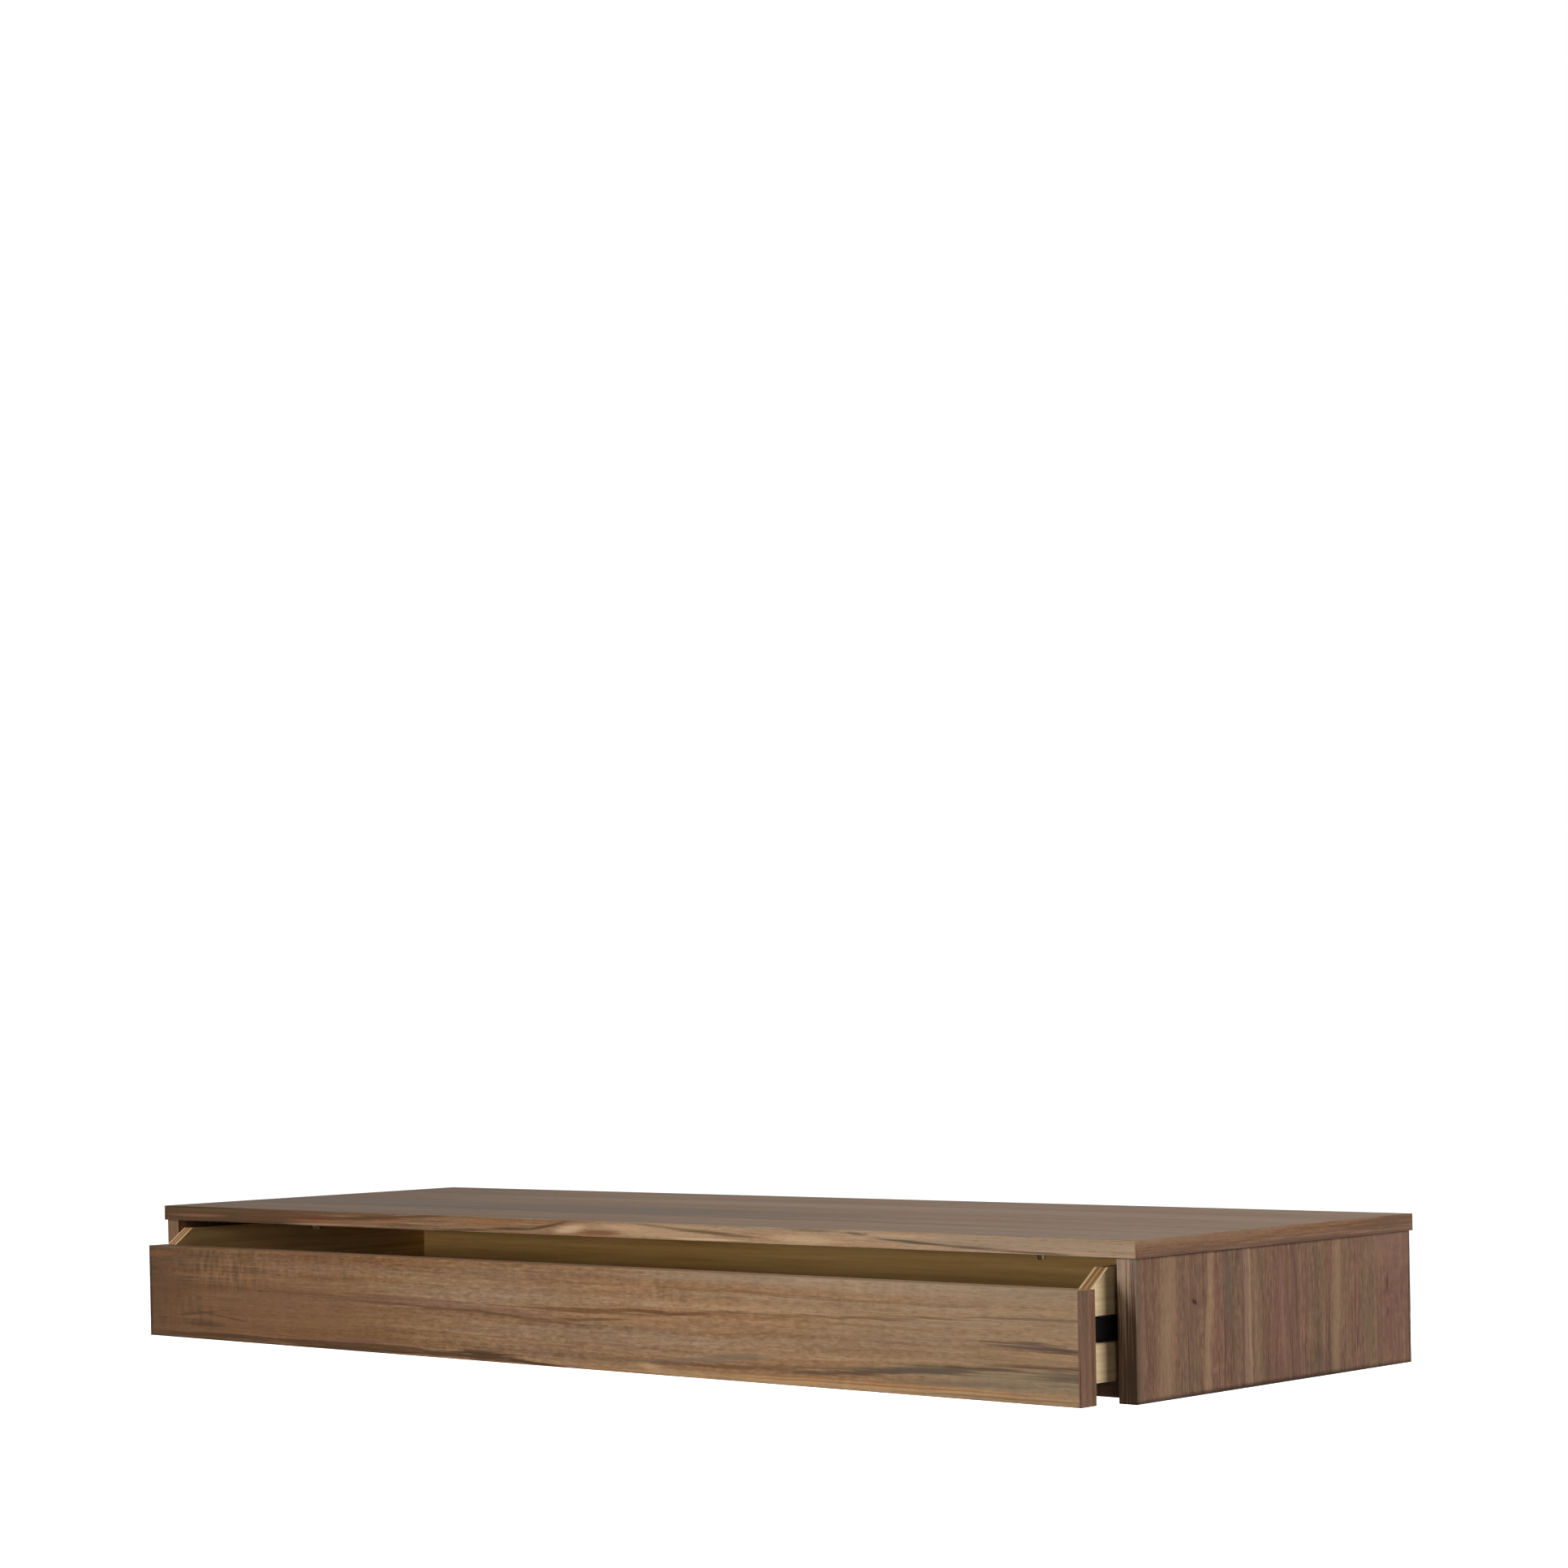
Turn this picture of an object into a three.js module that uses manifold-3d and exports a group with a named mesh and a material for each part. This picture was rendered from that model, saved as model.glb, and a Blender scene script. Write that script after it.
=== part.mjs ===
// A long wall-hung drawer cabinet in walnut: a cased body on a wall cleat, with one full-width
// plywood drawer on ball-bearing slides. All sizes are in millimetres, and up is +Z.
// The pieces are laid out from the cabinet's front plane (y = 0, into the wall is +y), its
// middle (x = 0) and the lower edges of its sides (z = 0). The last group moves the whole so
// that its origin is the middle of the wall cleat's back face.

import * as THREE from 'three';
import { mergeVertices } from 'three/addons/utils/BufferGeometryUtils.js';
import Module from 'manifold-3d';

const wasm = await Module();
wasm.setup();

// Cabinet
const topWidth = 1400;
const cabinetDepth = 445;
const cabinetHeight = 145;
const topThickness = 16.5;
const topOverhang = 4;
const sideThickness = 20;
const sideSetback = 1.5;
const bandThickness = 2;
const bottomThickness = 15;
const bottomLift = 2;
const bottomSetback = 2;
const backThickness = 4;

// Hanging rails at the back
const railThickness = 15;
const bevelHeight = 15;
const cleatEndClearance = 56;
const cleatHoleRadius = 3;
const cleatSinkRadius = 6;
const cleatSinkDepth = 3;
const lowerRailClearance = 3.2;

// Drawer
const drawerShown = 45;
const frontThickness = 23;
const fingerGap = 26;
const frontSideGap = 6;
const plyThickness = 15;
const boxBackClearance = 13;
const boxLift = 2;
const boxTopClearance = 8.5;
const slopeRun = 24.5;
const slopeFootDrop = 0.5;
const innerFrontDrop = 5.5;
const drawerBottomThickness = 6;
const drawerBottomRecess = 8;
const grooveDepth = 6;

// Ball-bearing slides
const slideSpace = 10;
const slideSetback = 1.5;
const slideBackClearance = 38.5;
const slideOverlap = 85;
const slideRise = 48;
const slideSheet = 1.2;
const outerMemberHeight = 35.3;
const outerMemberReach = 1.5;
const lipLength = 1.2;
const innerMemberHeight = 22.8;
const innerFlangeReach = 6.5;
const ballRadius = 2.2;
const ballPlaneReach = 5;
const retainerSheet = 0.8;
const retainerWebReach = 6.9;
const retainerFlangeStart = 3;
const retainerEndPlay = 2;
const bumperLength = 5;
const bumperHeight = 20;
const ballsPerRow = 6;

// Fasteners
const dowelRadius = 4;
const dowelLength = 28;
const topDowelDepth = 11;
const boxDowelRadius = 3;
const boxDowelLength = 28;
const boxDowelDepth = 9;
const screwRadius = 2;
const screwHeadRadius = 4;
const screwHeadHeight = 2.2;
const railScrewLength = 16;
const frontScrewLength = 27;
const slideScrewRadius = 1.7;
const slideScrewHeadRadius = 3.4;
const slideScrewHeadHeight = 0.7;
const slideScrewLength = 12;
const studRadius = 4;
const studDrop = 11.5;
const studSetback = 83;
const studInset = 173;
const studThreadRadius = 2;
const studThreadLength = 10;
const studRounding = 1;

// Gaps and the overrun of cuts
const fitGap = 0.3;
const overrun = 5;

// Heights of the back rail and the wall cleat, as shares of the height between top and bottom
const railHeightShare = 0.34;
const cleatHeightShare = 0.27;

// Places of what repeats, as shares of the length that carries it
const dowelDepthShares = { front: 0.14, back: 0.86 };
const railScrewShares = [-0.86, 0, 0.86];
const cleatHoleShares = [-0.9, -0.32, 0.32, 0.9];
const frontScrewShares = [-0.84, -0.28, 0.28, 0.84];
const boxDowelHeightShare = 0.5;
const slideScrewShares = { front: 0.08, back: 0.86 };
const screwTipShare = 0.5;

// Numbers of facets
const dowelSides = 14;
const screwSides = 12;
const studSides = 24;

// Faces that several pieces share
const sideOuter = topWidth / 2 - topOverhang;
const sideInner = sideOuter - sideThickness;
const underside = cabinetHeight - topThickness;
const bottomFront = frontThickness + bottomSetback;
const bottomTop = bottomLift + bottomThickness;
const innerHeight = underside - bottomTop;
const frontHeight = underside - fingerGap;
const railFront = cabinetDepth - railThickness;
const backFront = railFront - backThickness;
const boxOuter = sideInner - slideSpace;
const boxInner = boxOuter - plyThickness;
const boxFront = frontThickness;
const boxBack = backFront - boxBackClearance;
const boxBottom = bottomTop + boxLift;
const boxTop = underside - boxTopClearance;
const frontHalf = sideInner - frontSideGap;
const innerFrontBack = boxFront + plyThickness;
const innerFrontTop = frontHeight - innerFrontDrop;
const railHeight = railHeightShare * innerHeight;
const railLow = underside - railHeight;
const cleatWallTop = railLow - bevelHeight - fitGap;
const cleatRoomTop = railLow - fitGap;
const cleatBottom = cleatWallTop - cleatHeightShare * innerHeight;
const originHeight = (cleatWallTop + cleatBottom) / 2;
const slideFront = boxFront + slideSetback;
const slideBack = boxBack - slideBackClearance;
const slideLength = slideBack - slideFront;
const slideTravel = slideLength - slideOverlap;
const slideCentreHeight = boxBottom + slideRise;
const innerMemberBack = slideBack - bumperLength - fitGap;

// Finishes
const finish = (color, roughness, metalness) => (
  new THREE.MeshStandardMaterial({ color, roughness, metalness })
);
const walnutTop = finish('#84725f', 0.5, 0);
const walnutSide = finish('#7b6152', 0.5, 0);
const walnutFront = finish('#8a7055', 0.5, 0);
const walnutBand = finish('#8c7259', 0.5, 0);
const plywood = finish('#c2a679', 0.6, 0);
const backBoard = finish('#5f4a33', 0.7, 0);
const beech = finish('#c79f6b', 0.7, 0);
const railWood = finish('#b08d5f', 0.7, 0);
const blackSteel = finish('#141313', 0.45, 0.6);
const zinc = finish('#b9bbbe', 0.3, 0.9);
const cageSteel = finish('#8e9196', 0.35, 0.9);
const rubber = finish('#1b1b1b', 0.9, 0);

// Joining and cutting
function closedSolid(geometry) {
  const bare = geometry.index ? geometry.clone() : geometry;
  bare.deleteAttribute('normal');
  bare.deleteAttribute('uv');
  const merged = mergeVertices(bare);
  return new wasm.Manifold(new wasm.Mesh({
    numProp: 3,
    vertProperties: new Float32Array(merged.attributes.position.array),
    triVerts: new Uint32Array(merged.index.array),
  }));
}

function geometryOf(solid) {
  const mesh = solid.getMesh();
  const geometry = new THREE.BufferGeometry();
  geometry.setAttribute('position', new THREE.BufferAttribute(new Float32Array(mesh.vertProperties), 3));
  geometry.setIndex(new THREE.BufferAttribute(new Uint32Array(mesh.triVerts), 1));
  geometry.computeVertexNormals();
  return geometry;
}

function cut(geometry, cutters) {
  let solid = closedSolid(geometry);
  for (const cutter of cutters) solid = solid.subtract(closedSolid(cutter));
  return geometryOf(solid);
}

function join(geometries) {
  let solid = closedSolid(geometries[0]);
  for (const geometry of geometries.slice(1)) solid = solid.add(closedSolid(geometry));
  return geometryOf(solid);
}

// Shapes
function block([x0, x1], [y0, y1], [z0, z1]) {
  const geometry = new THREE.BoxGeometry(x1 - x0, y1 - y0, z1 - z0);
  return geometry.translate((x0 + x1) / 2, (y0 + y1) / 2, (z0 + z1) / 2);
}

function rod(axis, radius, [from, to], [a, b], sides) {
  const geometry = new THREE.CylinderGeometry(radius, radius, to - from, sides);
  const middle = (from + to) / 2;
  if (axis === 'x') return geometry.rotateZ(Math.PI / 2).translate(middle, a, b);
  if (axis === 'y') return geometry.translate(a, middle, b);
  return geometry.rotateX(Math.PI / 2).translate(a, b, middle);
}

function turned(points, sides) {
  return new THREE.LatheGeometry(points.map(([r, h]) => new THREE.Vector2(r, h)), sides);
}

// A section drawn in x and z, run from front to back
function alongY(outline, [y0, y1]) {
  const shape = new THREE.Shape(outline.map(([x, z]) => new THREE.Vector2(x, z)));
  const geometry = new THREE.ExtrudeGeometry(shape, { depth: y1 - y0, bevelEnabled: false });
  return geometry.rotateX(Math.PI / 2).translate(0, y1, 0);
}

// A section drawn in y and z, run from left to right
function alongX(outline, [x0, x1]) {
  const shape = new THREE.Shape(outline.map(([y, z]) => new THREE.Vector2(y, z)));
  const geometry = new THREE.ExtrudeGeometry(shape, { depth: x1 - x0, bevelEnabled: false });
  return geometry.rotateY(Math.PI / 2).rotateX(Math.PI / 2).translate(x0, 0, 0);
}

// The profile of a screw that points along +h, its head's seat at h = 0
function screwProfile(radius, length, headRadius, headHeight) {
  return [
    [0, -headHeight],
    [headRadius, -headHeight],
    [headRadius, 0],
    [radius, 0],
    [radius, length - radius],
    [radius * screwTipShare, length],
    [0, length],
  ];
}

// Pieces
function add(group, name, material, geometry) {
  geometry.computeBoundingBox();
  const middle = geometry.boundingBox.getCenter(new THREE.Vector3());
  const mesh = new THREE.Mesh(geometry.translate(-middle.x, -middle.y, -middle.z), material);
  mesh.name = name;
  mesh.position.copy(middle);
  group.add(mesh);
}

const ordered = (a, b) => (a < b ? [a, b] : [b, a]);
const between = (share, [from, to]) => from + share * (to - from);
const sideName = (side) => (side < 0 ? 'left' : 'right');
const bothSides = [-1, 1];

const carcass = new THREE.Group();
const drawer = new THREE.Group();
drawer.position.y = -drawerShown;
const retainers = new THREE.Group();
retainers.position.y = -drawerShown / 2;

// Dowel and screw places
const sideMiddle = sideOuter - sideThickness / 2;
const bottomMiddle = bottomLift + bottomThickness / 2;
const dowelPlaces = Object.entries(dowelDepthShares).map(([place, share]) => (
  [place, between(share, [bottomFront, cabinetDepth])]
));
const studX = topWidth / 2 - studInset;
const railScrewHeight = underside - railHeight / 2;

function topDowel(side, y, play) {
  return rod('z', dowelRadius + play, [underside + topDowelDepth - dowelLength - play,
    underside + topDowelDepth + play], [side * sideMiddle, y], dowelSides);
}

function bottomDowel(side, y, play) {
  const [from, to] = ordered(side * (sideMiddle + play), side * (sideMiddle - dowelLength - play));
  return rod('x', dowelRadius + play, [from, to], [y, bottomMiddle], dowelSides);
}

const dowelHoles = (maker, side) => dowelPlaces.map(([, y]) => maker(side, y, fitGap));
const dowelHolesBothSides = (maker) => bothSides.flatMap((side) => dowelHoles(maker, side));

// Top board with its edge bands
function makeTop() {
  const boardEnd = topWidth / 2 - bandThickness;
  const height = [underside, cabinetHeight];
  const studHoles = bothSides.map((side) => rod('z', studThreadRadius + fitGap,
    [underside - overrun, underside + studThreadLength + fitGap], [side * studX, studSetback], screwSides));
  add(carcass, 'top_board', walnutTop, cut(
    block([-boardEnd, boardEnd], [bandThickness, cabinetDepth], height),
    [...dowelHolesBothSides(topDowel), ...studHoles],
  ));
  add(carcass, 'top_front_band', walnutBand, block([-boardEnd, boardEnd], [0, bandThickness], height));
  for (const side of bothSides) {
    const x = ordered(side * boardEnd, side * topWidth / 2);
    add(carcass, `top_${sideName(side)}_band`, walnutBand, block(x, [0, cabinetDepth], height));
  }
}

// Screw holes of the slides, drilled into the side panels and the drawer's sides
const slideScrewPlaces = Object.entries(slideScrewShares).map(([place, share]) => (
  [place, between(share, [slideFront, slideBack])]
));

function slideScrewHoles(from, to) {
  return slideScrewPlaces.map(([, y]) => (
    rod('x', slideScrewRadius + fitGap, ordered(from, to), [y, slideCentreHeight], screwSides)
  ));
}

function makeSides() {
  const height = [0, underside];
  const boardFront = sideSetback + bandThickness;
  for (const side of bothSides) {
    const x = ordered(side * sideInner, side * sideOuter);
    const slideHoles = slideScrewHoles(side * (sideInner - overrun), side * (sideInner + slideScrewLength));
    add(carcass, `${sideName(side)}_side_panel`, walnutSide, cut(
      block(x, [boardFront, cabinetDepth], height),
      [...dowelHoles(topDowel, side), ...dowelHoles(bottomDowel, side), ...slideHoles],
    ));
    add(carcass, `${sideName(side)}_side_band`, walnutBand, block(x, [sideSetback, boardFront], height));
  }
}

function makeBottom() {
  const x = [-sideInner, sideInner];
  const z = [bottomLift, bottomTop];
  const boardFront = bottomFront + bandThickness;
  add(carcass, 'bottom_panel', walnutSide, cut(
    block(x, [boardFront, cabinetDepth], z),
    dowelHolesBothSides(bottomDowel),
  ));
  add(carcass, 'bottom_band', walnutBand, block(x, [bottomFront, boardFront], z));
}

function makeDowels() {
  for (const side of bothSides) {
    for (const [place, y] of dowelPlaces) {
      add(carcass, `top_dowel_${sideName(side)}_${place}`, beech, topDowel(side, y, 0));
      add(carcass, `bottom_dowel_${sideName(side)}_${place}`, beech, bottomDowel(side, y, 0));
    }
  }
}

function screwHolesAlongY(places, [from, to]) {
  return places.map(([x, z]) => rod('y', screwRadius + fitGap, [from, to], [x, z], screwSides));
}

function makeBack() {
  const screws = railScrewShares.map((share) => [share * sideInner, railScrewHeight]);
  const holeEnd = backFront + railScrewLength + fitGap;
  const x = [-sideInner, sideInner];
  add(carcass, 'back_panel', backBoard, cut(
    block(x, [backFront, railFront], [bottomTop, underside]),
    screwHolesAlongY(screws, [backFront - overrun, railFront + overrun]),
  ));
  // The rail's bevel drops toward the wall and hooks over the cleat
  const railOutline = [
    [railFront, railLow],
    [cabinetDepth, railLow - bevelHeight],
    [cabinetDepth, underside],
    [railFront, underside],
  ];
  add(carcass, 'hanging_rail', railWood, cut(alongX(railOutline, x),
    screwHolesAlongY(screws, [railFront - overrun, holeEnd])));
  add(carcass, 'lower_rail', railWood,
    block(x, [railFront, cabinetDepth], [bottomTop, cleatBottom - lowerRailClearance]));
  const profile = screwProfile(screwRadius, railScrewLength, screwHeadRadius, screwHeadHeight);
  screws.forEach(([screwX, z], i) => {
    add(carcass, `rail_screw_${i + 1}`, zinc, turned(profile, screwSides).translate(screwX, backFront, z));
  });
}

function makeWallCleat() {
  const end = sideInner - cleatEndClearance;
  const outline = [
    [railFront, cleatBottom],
    [cabinetDepth, cleatBottom],
    [cabinetDepth, cleatWallTop],
    [railFront, cleatRoomTop],
  ];
  const sink = [
    [0, -overrun],
    [cleatSinkRadius, -overrun],
    [cleatSinkRadius, 0],
    [cleatHoleRadius, cleatSinkDepth],
    [cleatHoleRadius, railThickness + overrun],
    [0, railThickness + overrun],
  ];
  const holes = cleatHoleShares.map((share) => (
    turned(sink, dowelSides).translate(share * end, railFront, originHeight)
  ));
  add(carcass, 'wall_cleat', railWood, cut(alongX(outline, [-end, end]), holes));
}

// A stud that hangs from the top, just past the sloped corners of the drawer's sides
function makeStuds() {
  const profile = [
    [0, -studDrop],
    [studRadius - studRounding, -studDrop],
    [studRadius, studRounding - studDrop],
    [studRadius, 0],
    [studThreadRadius, 0],
    [studThreadRadius, studThreadLength],
    [0, studThreadLength],
  ];
  for (const side of bothSides) {
    const stud = turned(profile, studSides).rotateX(Math.PI / 2);
    add(carcass, `${sideName(side)}_stop_stud`, zinc, stud.translate(side * studX, studSetback, underside));
  }
}

// Drawer box of plywood
const innerFrontHeight = [boxBottom, innerFrontTop];
const floorLow = boxBottom + drawerBottomRecess;
const floorHigh = floorLow + drawerBottomThickness;
const boxDowelHeight = between(boxDowelHeightShare, [boxBottom, boxTop]);
const frontDowelY = (boxFront + innerFrontBack) / 2;
const backDowelY = boxBack - plyThickness / 2;

function boxDowel(side, y, play) {
  const outerEnd = boxInner + boxDowelDepth + play;
  const innerEnd = boxInner + boxDowelDepth - boxDowelLength - play;
  const x = ordered(side * innerEnd, side * outerEnd);
  return rod('x', boxDowelRadius + play, x, [y, boxDowelHeight], screwSides);
}

// The groove that holds the drawer's bottom, run round all four walls
function floorGroove() {
  const reach = boxInner + grooveDepth;
  return block([-reach, reach], [innerFrontBack - grooveDepth, boxBack - plyThickness + grooveDepth],
    [floorLow - fitGap, floorHigh + fitGap]);
}

function makeDrawerSides() {
  const outline = [
    [boxFront, boxBottom],
    [boxBack, boxBottom],
    [boxBack, boxTop],
    [boxFront + slopeRun, boxTop],
    [boxFront, frontHeight - slopeFootDrop],
  ];
  for (const side of bothSides) {
    const slideHoles = slideScrewHoles(side * (boxOuter + overrun), side * (boxOuter - slideScrewLength));
    const cornerHoles = [frontDowelY, backDowelY].map((y) => boxDowel(side, y, fitGap));
    add(drawer, `drawer_${sideName(side)}_side`, plywood, cut(
      alongX(outline, ordered(side * boxInner, side * boxOuter)),
      [floorGroove(), ...slideHoles, ...cornerHoles],
    ));
  }
}

function makeDrawerEnds() {
  const x = [-boxInner, boxInner];
  const screws = frontScrewShares.map((share) => [share * boxInner, (floorHigh + innerFrontTop) / 2]);
  const cornerHoles = (y) => bothSides.map((side) => boxDowel(side, y, fitGap));
  const screwHoles = screwHolesAlongY(screws, [boxFront - overrun, innerFrontBack + overrun]);
  add(drawer, 'drawer_inner_front', plywood, cut(
    block(x, [boxFront, innerFrontBack], innerFrontHeight),
    [floorGroove(), ...cornerHoles(frontDowelY), ...screwHoles],
  ));
  add(drawer, 'drawer_back', plywood, cut(
    block(x, [boxBack - plyThickness, boxBack], [boxBottom, boxTop]),
    [floorGroove(), ...cornerHoles(backDowelY)],
  ));
  for (const side of bothSides) {
    add(drawer, `drawer_dowel_${sideName(side)}_front`, beech, boxDowel(side, frontDowelY, 0));
    add(drawer, `drawer_dowel_${sideName(side)}_back`, beech, boxDowel(side, backDowelY, 0));
  }
  return screws;
}

function makeDrawerBottom() {
  const reach = boxInner + grooveDepth - fitGap;
  const front = innerFrontBack - grooveDepth + fitGap;
  const back = boxBack - plyThickness + grooveDepth - fitGap;
  add(drawer, 'drawer_bottom', plywood, block([-reach, reach], [front, back], [floorLow, floorHigh]));
}

// Walnut front, screwed on from inside the drawer
function makeDrawerFront(screws) {
  const boardEnd = frontHalf - bandThickness;
  const holeStart = innerFrontBack - frontScrewLength - fitGap;
  add(drawer, 'drawer_front', walnutFront, cut(
    block([-boardEnd, boardEnd], [0, frontThickness], [0, frontHeight]),
    screwHolesAlongY(screws, [holeStart, frontThickness + overrun]),
  ));
  for (const side of bothSides) {
    const x = ordered(side * boardEnd, side * frontHalf);
    add(drawer, `drawer_front_${sideName(side)}_band`, walnutBand,
      block(x, [0, frontThickness], [0, frontHeight]));
  }
  const profile = screwProfile(screwRadius, frontScrewLength, screwHeadRadius, screwHeadHeight);
  screws.forEach(([x, z], i) => {
    add(drawer, `front_screw_${i + 1}`, zinc,
      turned(profile, screwSides).rotateX(Math.PI).translate(x, innerFrontBack, z));
  });
}

// Slides. A section's points are [reach from the drawer's side, height from the slide's middle],
// and for the whole slide, reach grows toward the cabinet's side.
function slideSection(side, points) {
  return points.map(([reach, height]) => [side * (boxOuter + reach), slideCentreHeight + height]);
}

function mirroredSection(side, upperHalf) {
  const lowerHalf = upperHalf.map(([reach, height]) => [reach, -height]).reverse();
  return slideSection(side, [...upperHalf, ...lowerHalf]);
}

const outerHalf = outerMemberHeight / 2;
const innerHalf = innerMemberHeight / 2;
const ballPlane = (outerHalf - slideSheet + innerHalf) / 2;
const lipEnd = outerMemberReach + slideSheet;
const outerWeb = slideSpace - slideSheet;

function makeOuterMember(side) {
  const section = mirroredSection(side, [
    [slideSpace, outerHalf],
    [outerMemberReach, outerHalf],
    [outerMemberReach, outerHalf - slideSheet - lipLength],
    [lipEnd, outerHalf - slideSheet - lipLength],
    [lipEnd, outerHalf - slideSheet],
    [outerWeb, outerHalf - slideSheet],
  ]);
  const holes = slideScrewHoles(side * (boxOuter + outerWeb - overrun), side * (sideInner + overrun));
  add(carcass, `${sideName(side)}_slide_cabinet_member`, blackSteel,
    cut(alongY(section, [slideFront, slideBack]), holes));
}

function makeInnerMember(side) {
  const section = mirroredSection(side, [
    [0, innerHalf],
    [innerFlangeReach, innerHalf],
    [innerFlangeReach, innerHalf - slideSheet],
    [slideSheet, innerHalf - slideSheet],
  ]);
  const holes = slideScrewHoles(side * (boxOuter - overrun), side * (boxOuter + slideSheet + overrun));
  add(drawer, `${sideName(side)}_slide_drawer_member`, blackSteel,
    cut(alongY(section, [slideFront, innerMemberBack]), holes));
}

const retainerFront = slideFront + slideTravel / 2 + retainerEndPlay;
const retainerLength = slideLength - slideTravel - 2 * retainerEndPlay - bumperLength;
const ballPitch = retainerLength / ballsPerRow;
const ballDepths = Array.from({ length: ballsPerRow }, (_, i) => (
  retainerFront + ballPitch / 2 + ballPitch * i
));

function makeRetainer(side) {
  const webOuter = retainerWebReach + retainerSheet;
  const section = mirroredSection(side, [
    [webOuter, ballPlane + retainerSheet / 2],
    [retainerFlangeStart, ballPlane + retainerSheet / 2],
    [retainerFlangeStart, ballPlane - retainerSheet / 2],
    [retainerWebReach, ballPlane - retainerSheet / 2],
  ]);
  const x = side * (boxOuter + ballPlaneReach);
  const balls = ballDepths.flatMap((y) => bothSides.map((up) => (
    new THREE.IcosahedronGeometry(ballRadius, 1).translate(x, y, slideCentreHeight + up * ballPlane)
  )));
  add(retainers, `${sideName(side)}_ball_retainer`, cageSteel,
    join([alongY(section, [retainerFront, retainerFront + retainerLength]), ...balls]));
}

function makeBumper(side) {
  const x = ordered(side * (boxOuter + slideSheet), side * (boxOuter + outerWeb));
  const z = [slideCentreHeight - bumperHeight / 2, slideCentreHeight + bumperHeight / 2];
  add(carcass, `${sideName(side)}_slide_bumper`, rubber,
    block(x, [slideBack - bumperLength, slideBack], z));
}

// Screws of one slide: outward into the cabinet's side, inward into the drawer's side
function makeSlideScrews(side) {
  const shank = slideScrewLength - fitGap;
  const profile = screwProfile(slideScrewRadius, shank, slideScrewHeadRadius, slideScrewHeadHeight);
  const pointing = (direction, seat, y) => (
    turned(profile, screwSides).rotateZ(-direction * Math.PI / 2).translate(seat, y, slideCentreHeight)
  );
  for (const [place, y] of slideScrewPlaces) {
    add(carcass, `${sideName(side)}_cabinet_slide_screw_${place}`, zinc,
      pointing(side, side * (boxOuter + outerWeb), y));
    add(drawer, `${sideName(side)}_drawer_slide_screw_${place}`, zinc,
      pointing(-side, side * (boxOuter + slideSheet), y));
  }
}

makeTop();
makeSides();
makeBottom();
makeDowels();
makeBack();
makeWallCleat();
makeStuds();
makeDrawerSides();
makeDrawerFront(makeDrawerEnds());
makeDrawerBottom();
for (const side of bothSides) {
  makeOuterMember(side);
  makeInnerMember(side);
  makeRetainer(side);
  makeBumper(side);
  makeSlideScrews(side);
}

const cabinet = new THREE.Group();
cabinet.add(carcass, drawer, retainers);
cabinet.position.set(0, -cabinetDepth, -originHeight);

const object = new THREE.Group();
object.add(cabinet);

export default object;
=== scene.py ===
import math

import bmesh
import bpy
from mathutils import Matrix, Vector


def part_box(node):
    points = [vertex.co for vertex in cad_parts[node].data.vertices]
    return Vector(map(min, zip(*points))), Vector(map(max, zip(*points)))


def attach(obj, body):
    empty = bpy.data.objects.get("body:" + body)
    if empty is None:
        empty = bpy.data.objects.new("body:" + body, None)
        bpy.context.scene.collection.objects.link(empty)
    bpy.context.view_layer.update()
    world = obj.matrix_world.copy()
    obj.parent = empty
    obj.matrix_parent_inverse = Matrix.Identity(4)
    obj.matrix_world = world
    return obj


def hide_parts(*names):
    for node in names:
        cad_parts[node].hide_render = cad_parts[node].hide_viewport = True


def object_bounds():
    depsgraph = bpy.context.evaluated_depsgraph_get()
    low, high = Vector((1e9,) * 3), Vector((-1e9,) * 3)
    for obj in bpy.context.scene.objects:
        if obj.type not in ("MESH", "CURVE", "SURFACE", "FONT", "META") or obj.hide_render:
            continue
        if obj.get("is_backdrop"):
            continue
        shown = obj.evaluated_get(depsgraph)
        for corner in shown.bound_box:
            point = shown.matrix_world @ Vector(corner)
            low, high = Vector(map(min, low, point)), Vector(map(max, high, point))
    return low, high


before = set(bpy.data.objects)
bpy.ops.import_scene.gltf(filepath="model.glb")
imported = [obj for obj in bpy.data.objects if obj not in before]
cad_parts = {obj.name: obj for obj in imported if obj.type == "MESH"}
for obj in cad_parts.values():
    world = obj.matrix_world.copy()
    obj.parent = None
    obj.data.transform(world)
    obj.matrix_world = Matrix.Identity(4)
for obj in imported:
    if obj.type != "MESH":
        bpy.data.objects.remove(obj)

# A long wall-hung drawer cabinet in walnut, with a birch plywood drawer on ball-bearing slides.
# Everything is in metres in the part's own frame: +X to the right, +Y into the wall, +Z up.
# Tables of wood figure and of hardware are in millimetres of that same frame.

CAD_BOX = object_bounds()
MM = 0.001


def linear(code):
    """The linear colour of an sRGB hex code."""
    parts = [int(code[i:i + 2], 16) / 255 for i in (1, 3, 5)]
    return tuple(p / 12.92 if p <= 0.04045 else ((p + 0.055) / 1.055) ** 2.4
                 for p in parts) + (1.0,)


def add(tree, kind, inputs=(), out=0, stops=(), **settings):
    """Adds a node, sets it, feeds its sockets by name or in order, and gives the asked output, or
    the node itself for None."""
    made = tree.nodes.new(kind)
    for key, value in settings.items():
        setattr(made, key, value)
    for key, value in inputs.items() if isinstance(inputs, dict) else enumerate(inputs):
        if isinstance(value, bpy.types.NodeSocket):
            tree.links.new(value, made.inputs[key])
        else:
            made.inputs[key].default_value = value
    if stops:
        scale = made.color_ramp.elements
        while len(scale) < len(stops):
            scale.new(0.5)
        for element, (position, code) in zip(scale, stops):
            element.position = position
            element.color = linear(code)
    return made if out is None else made.outputs[out]


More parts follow.
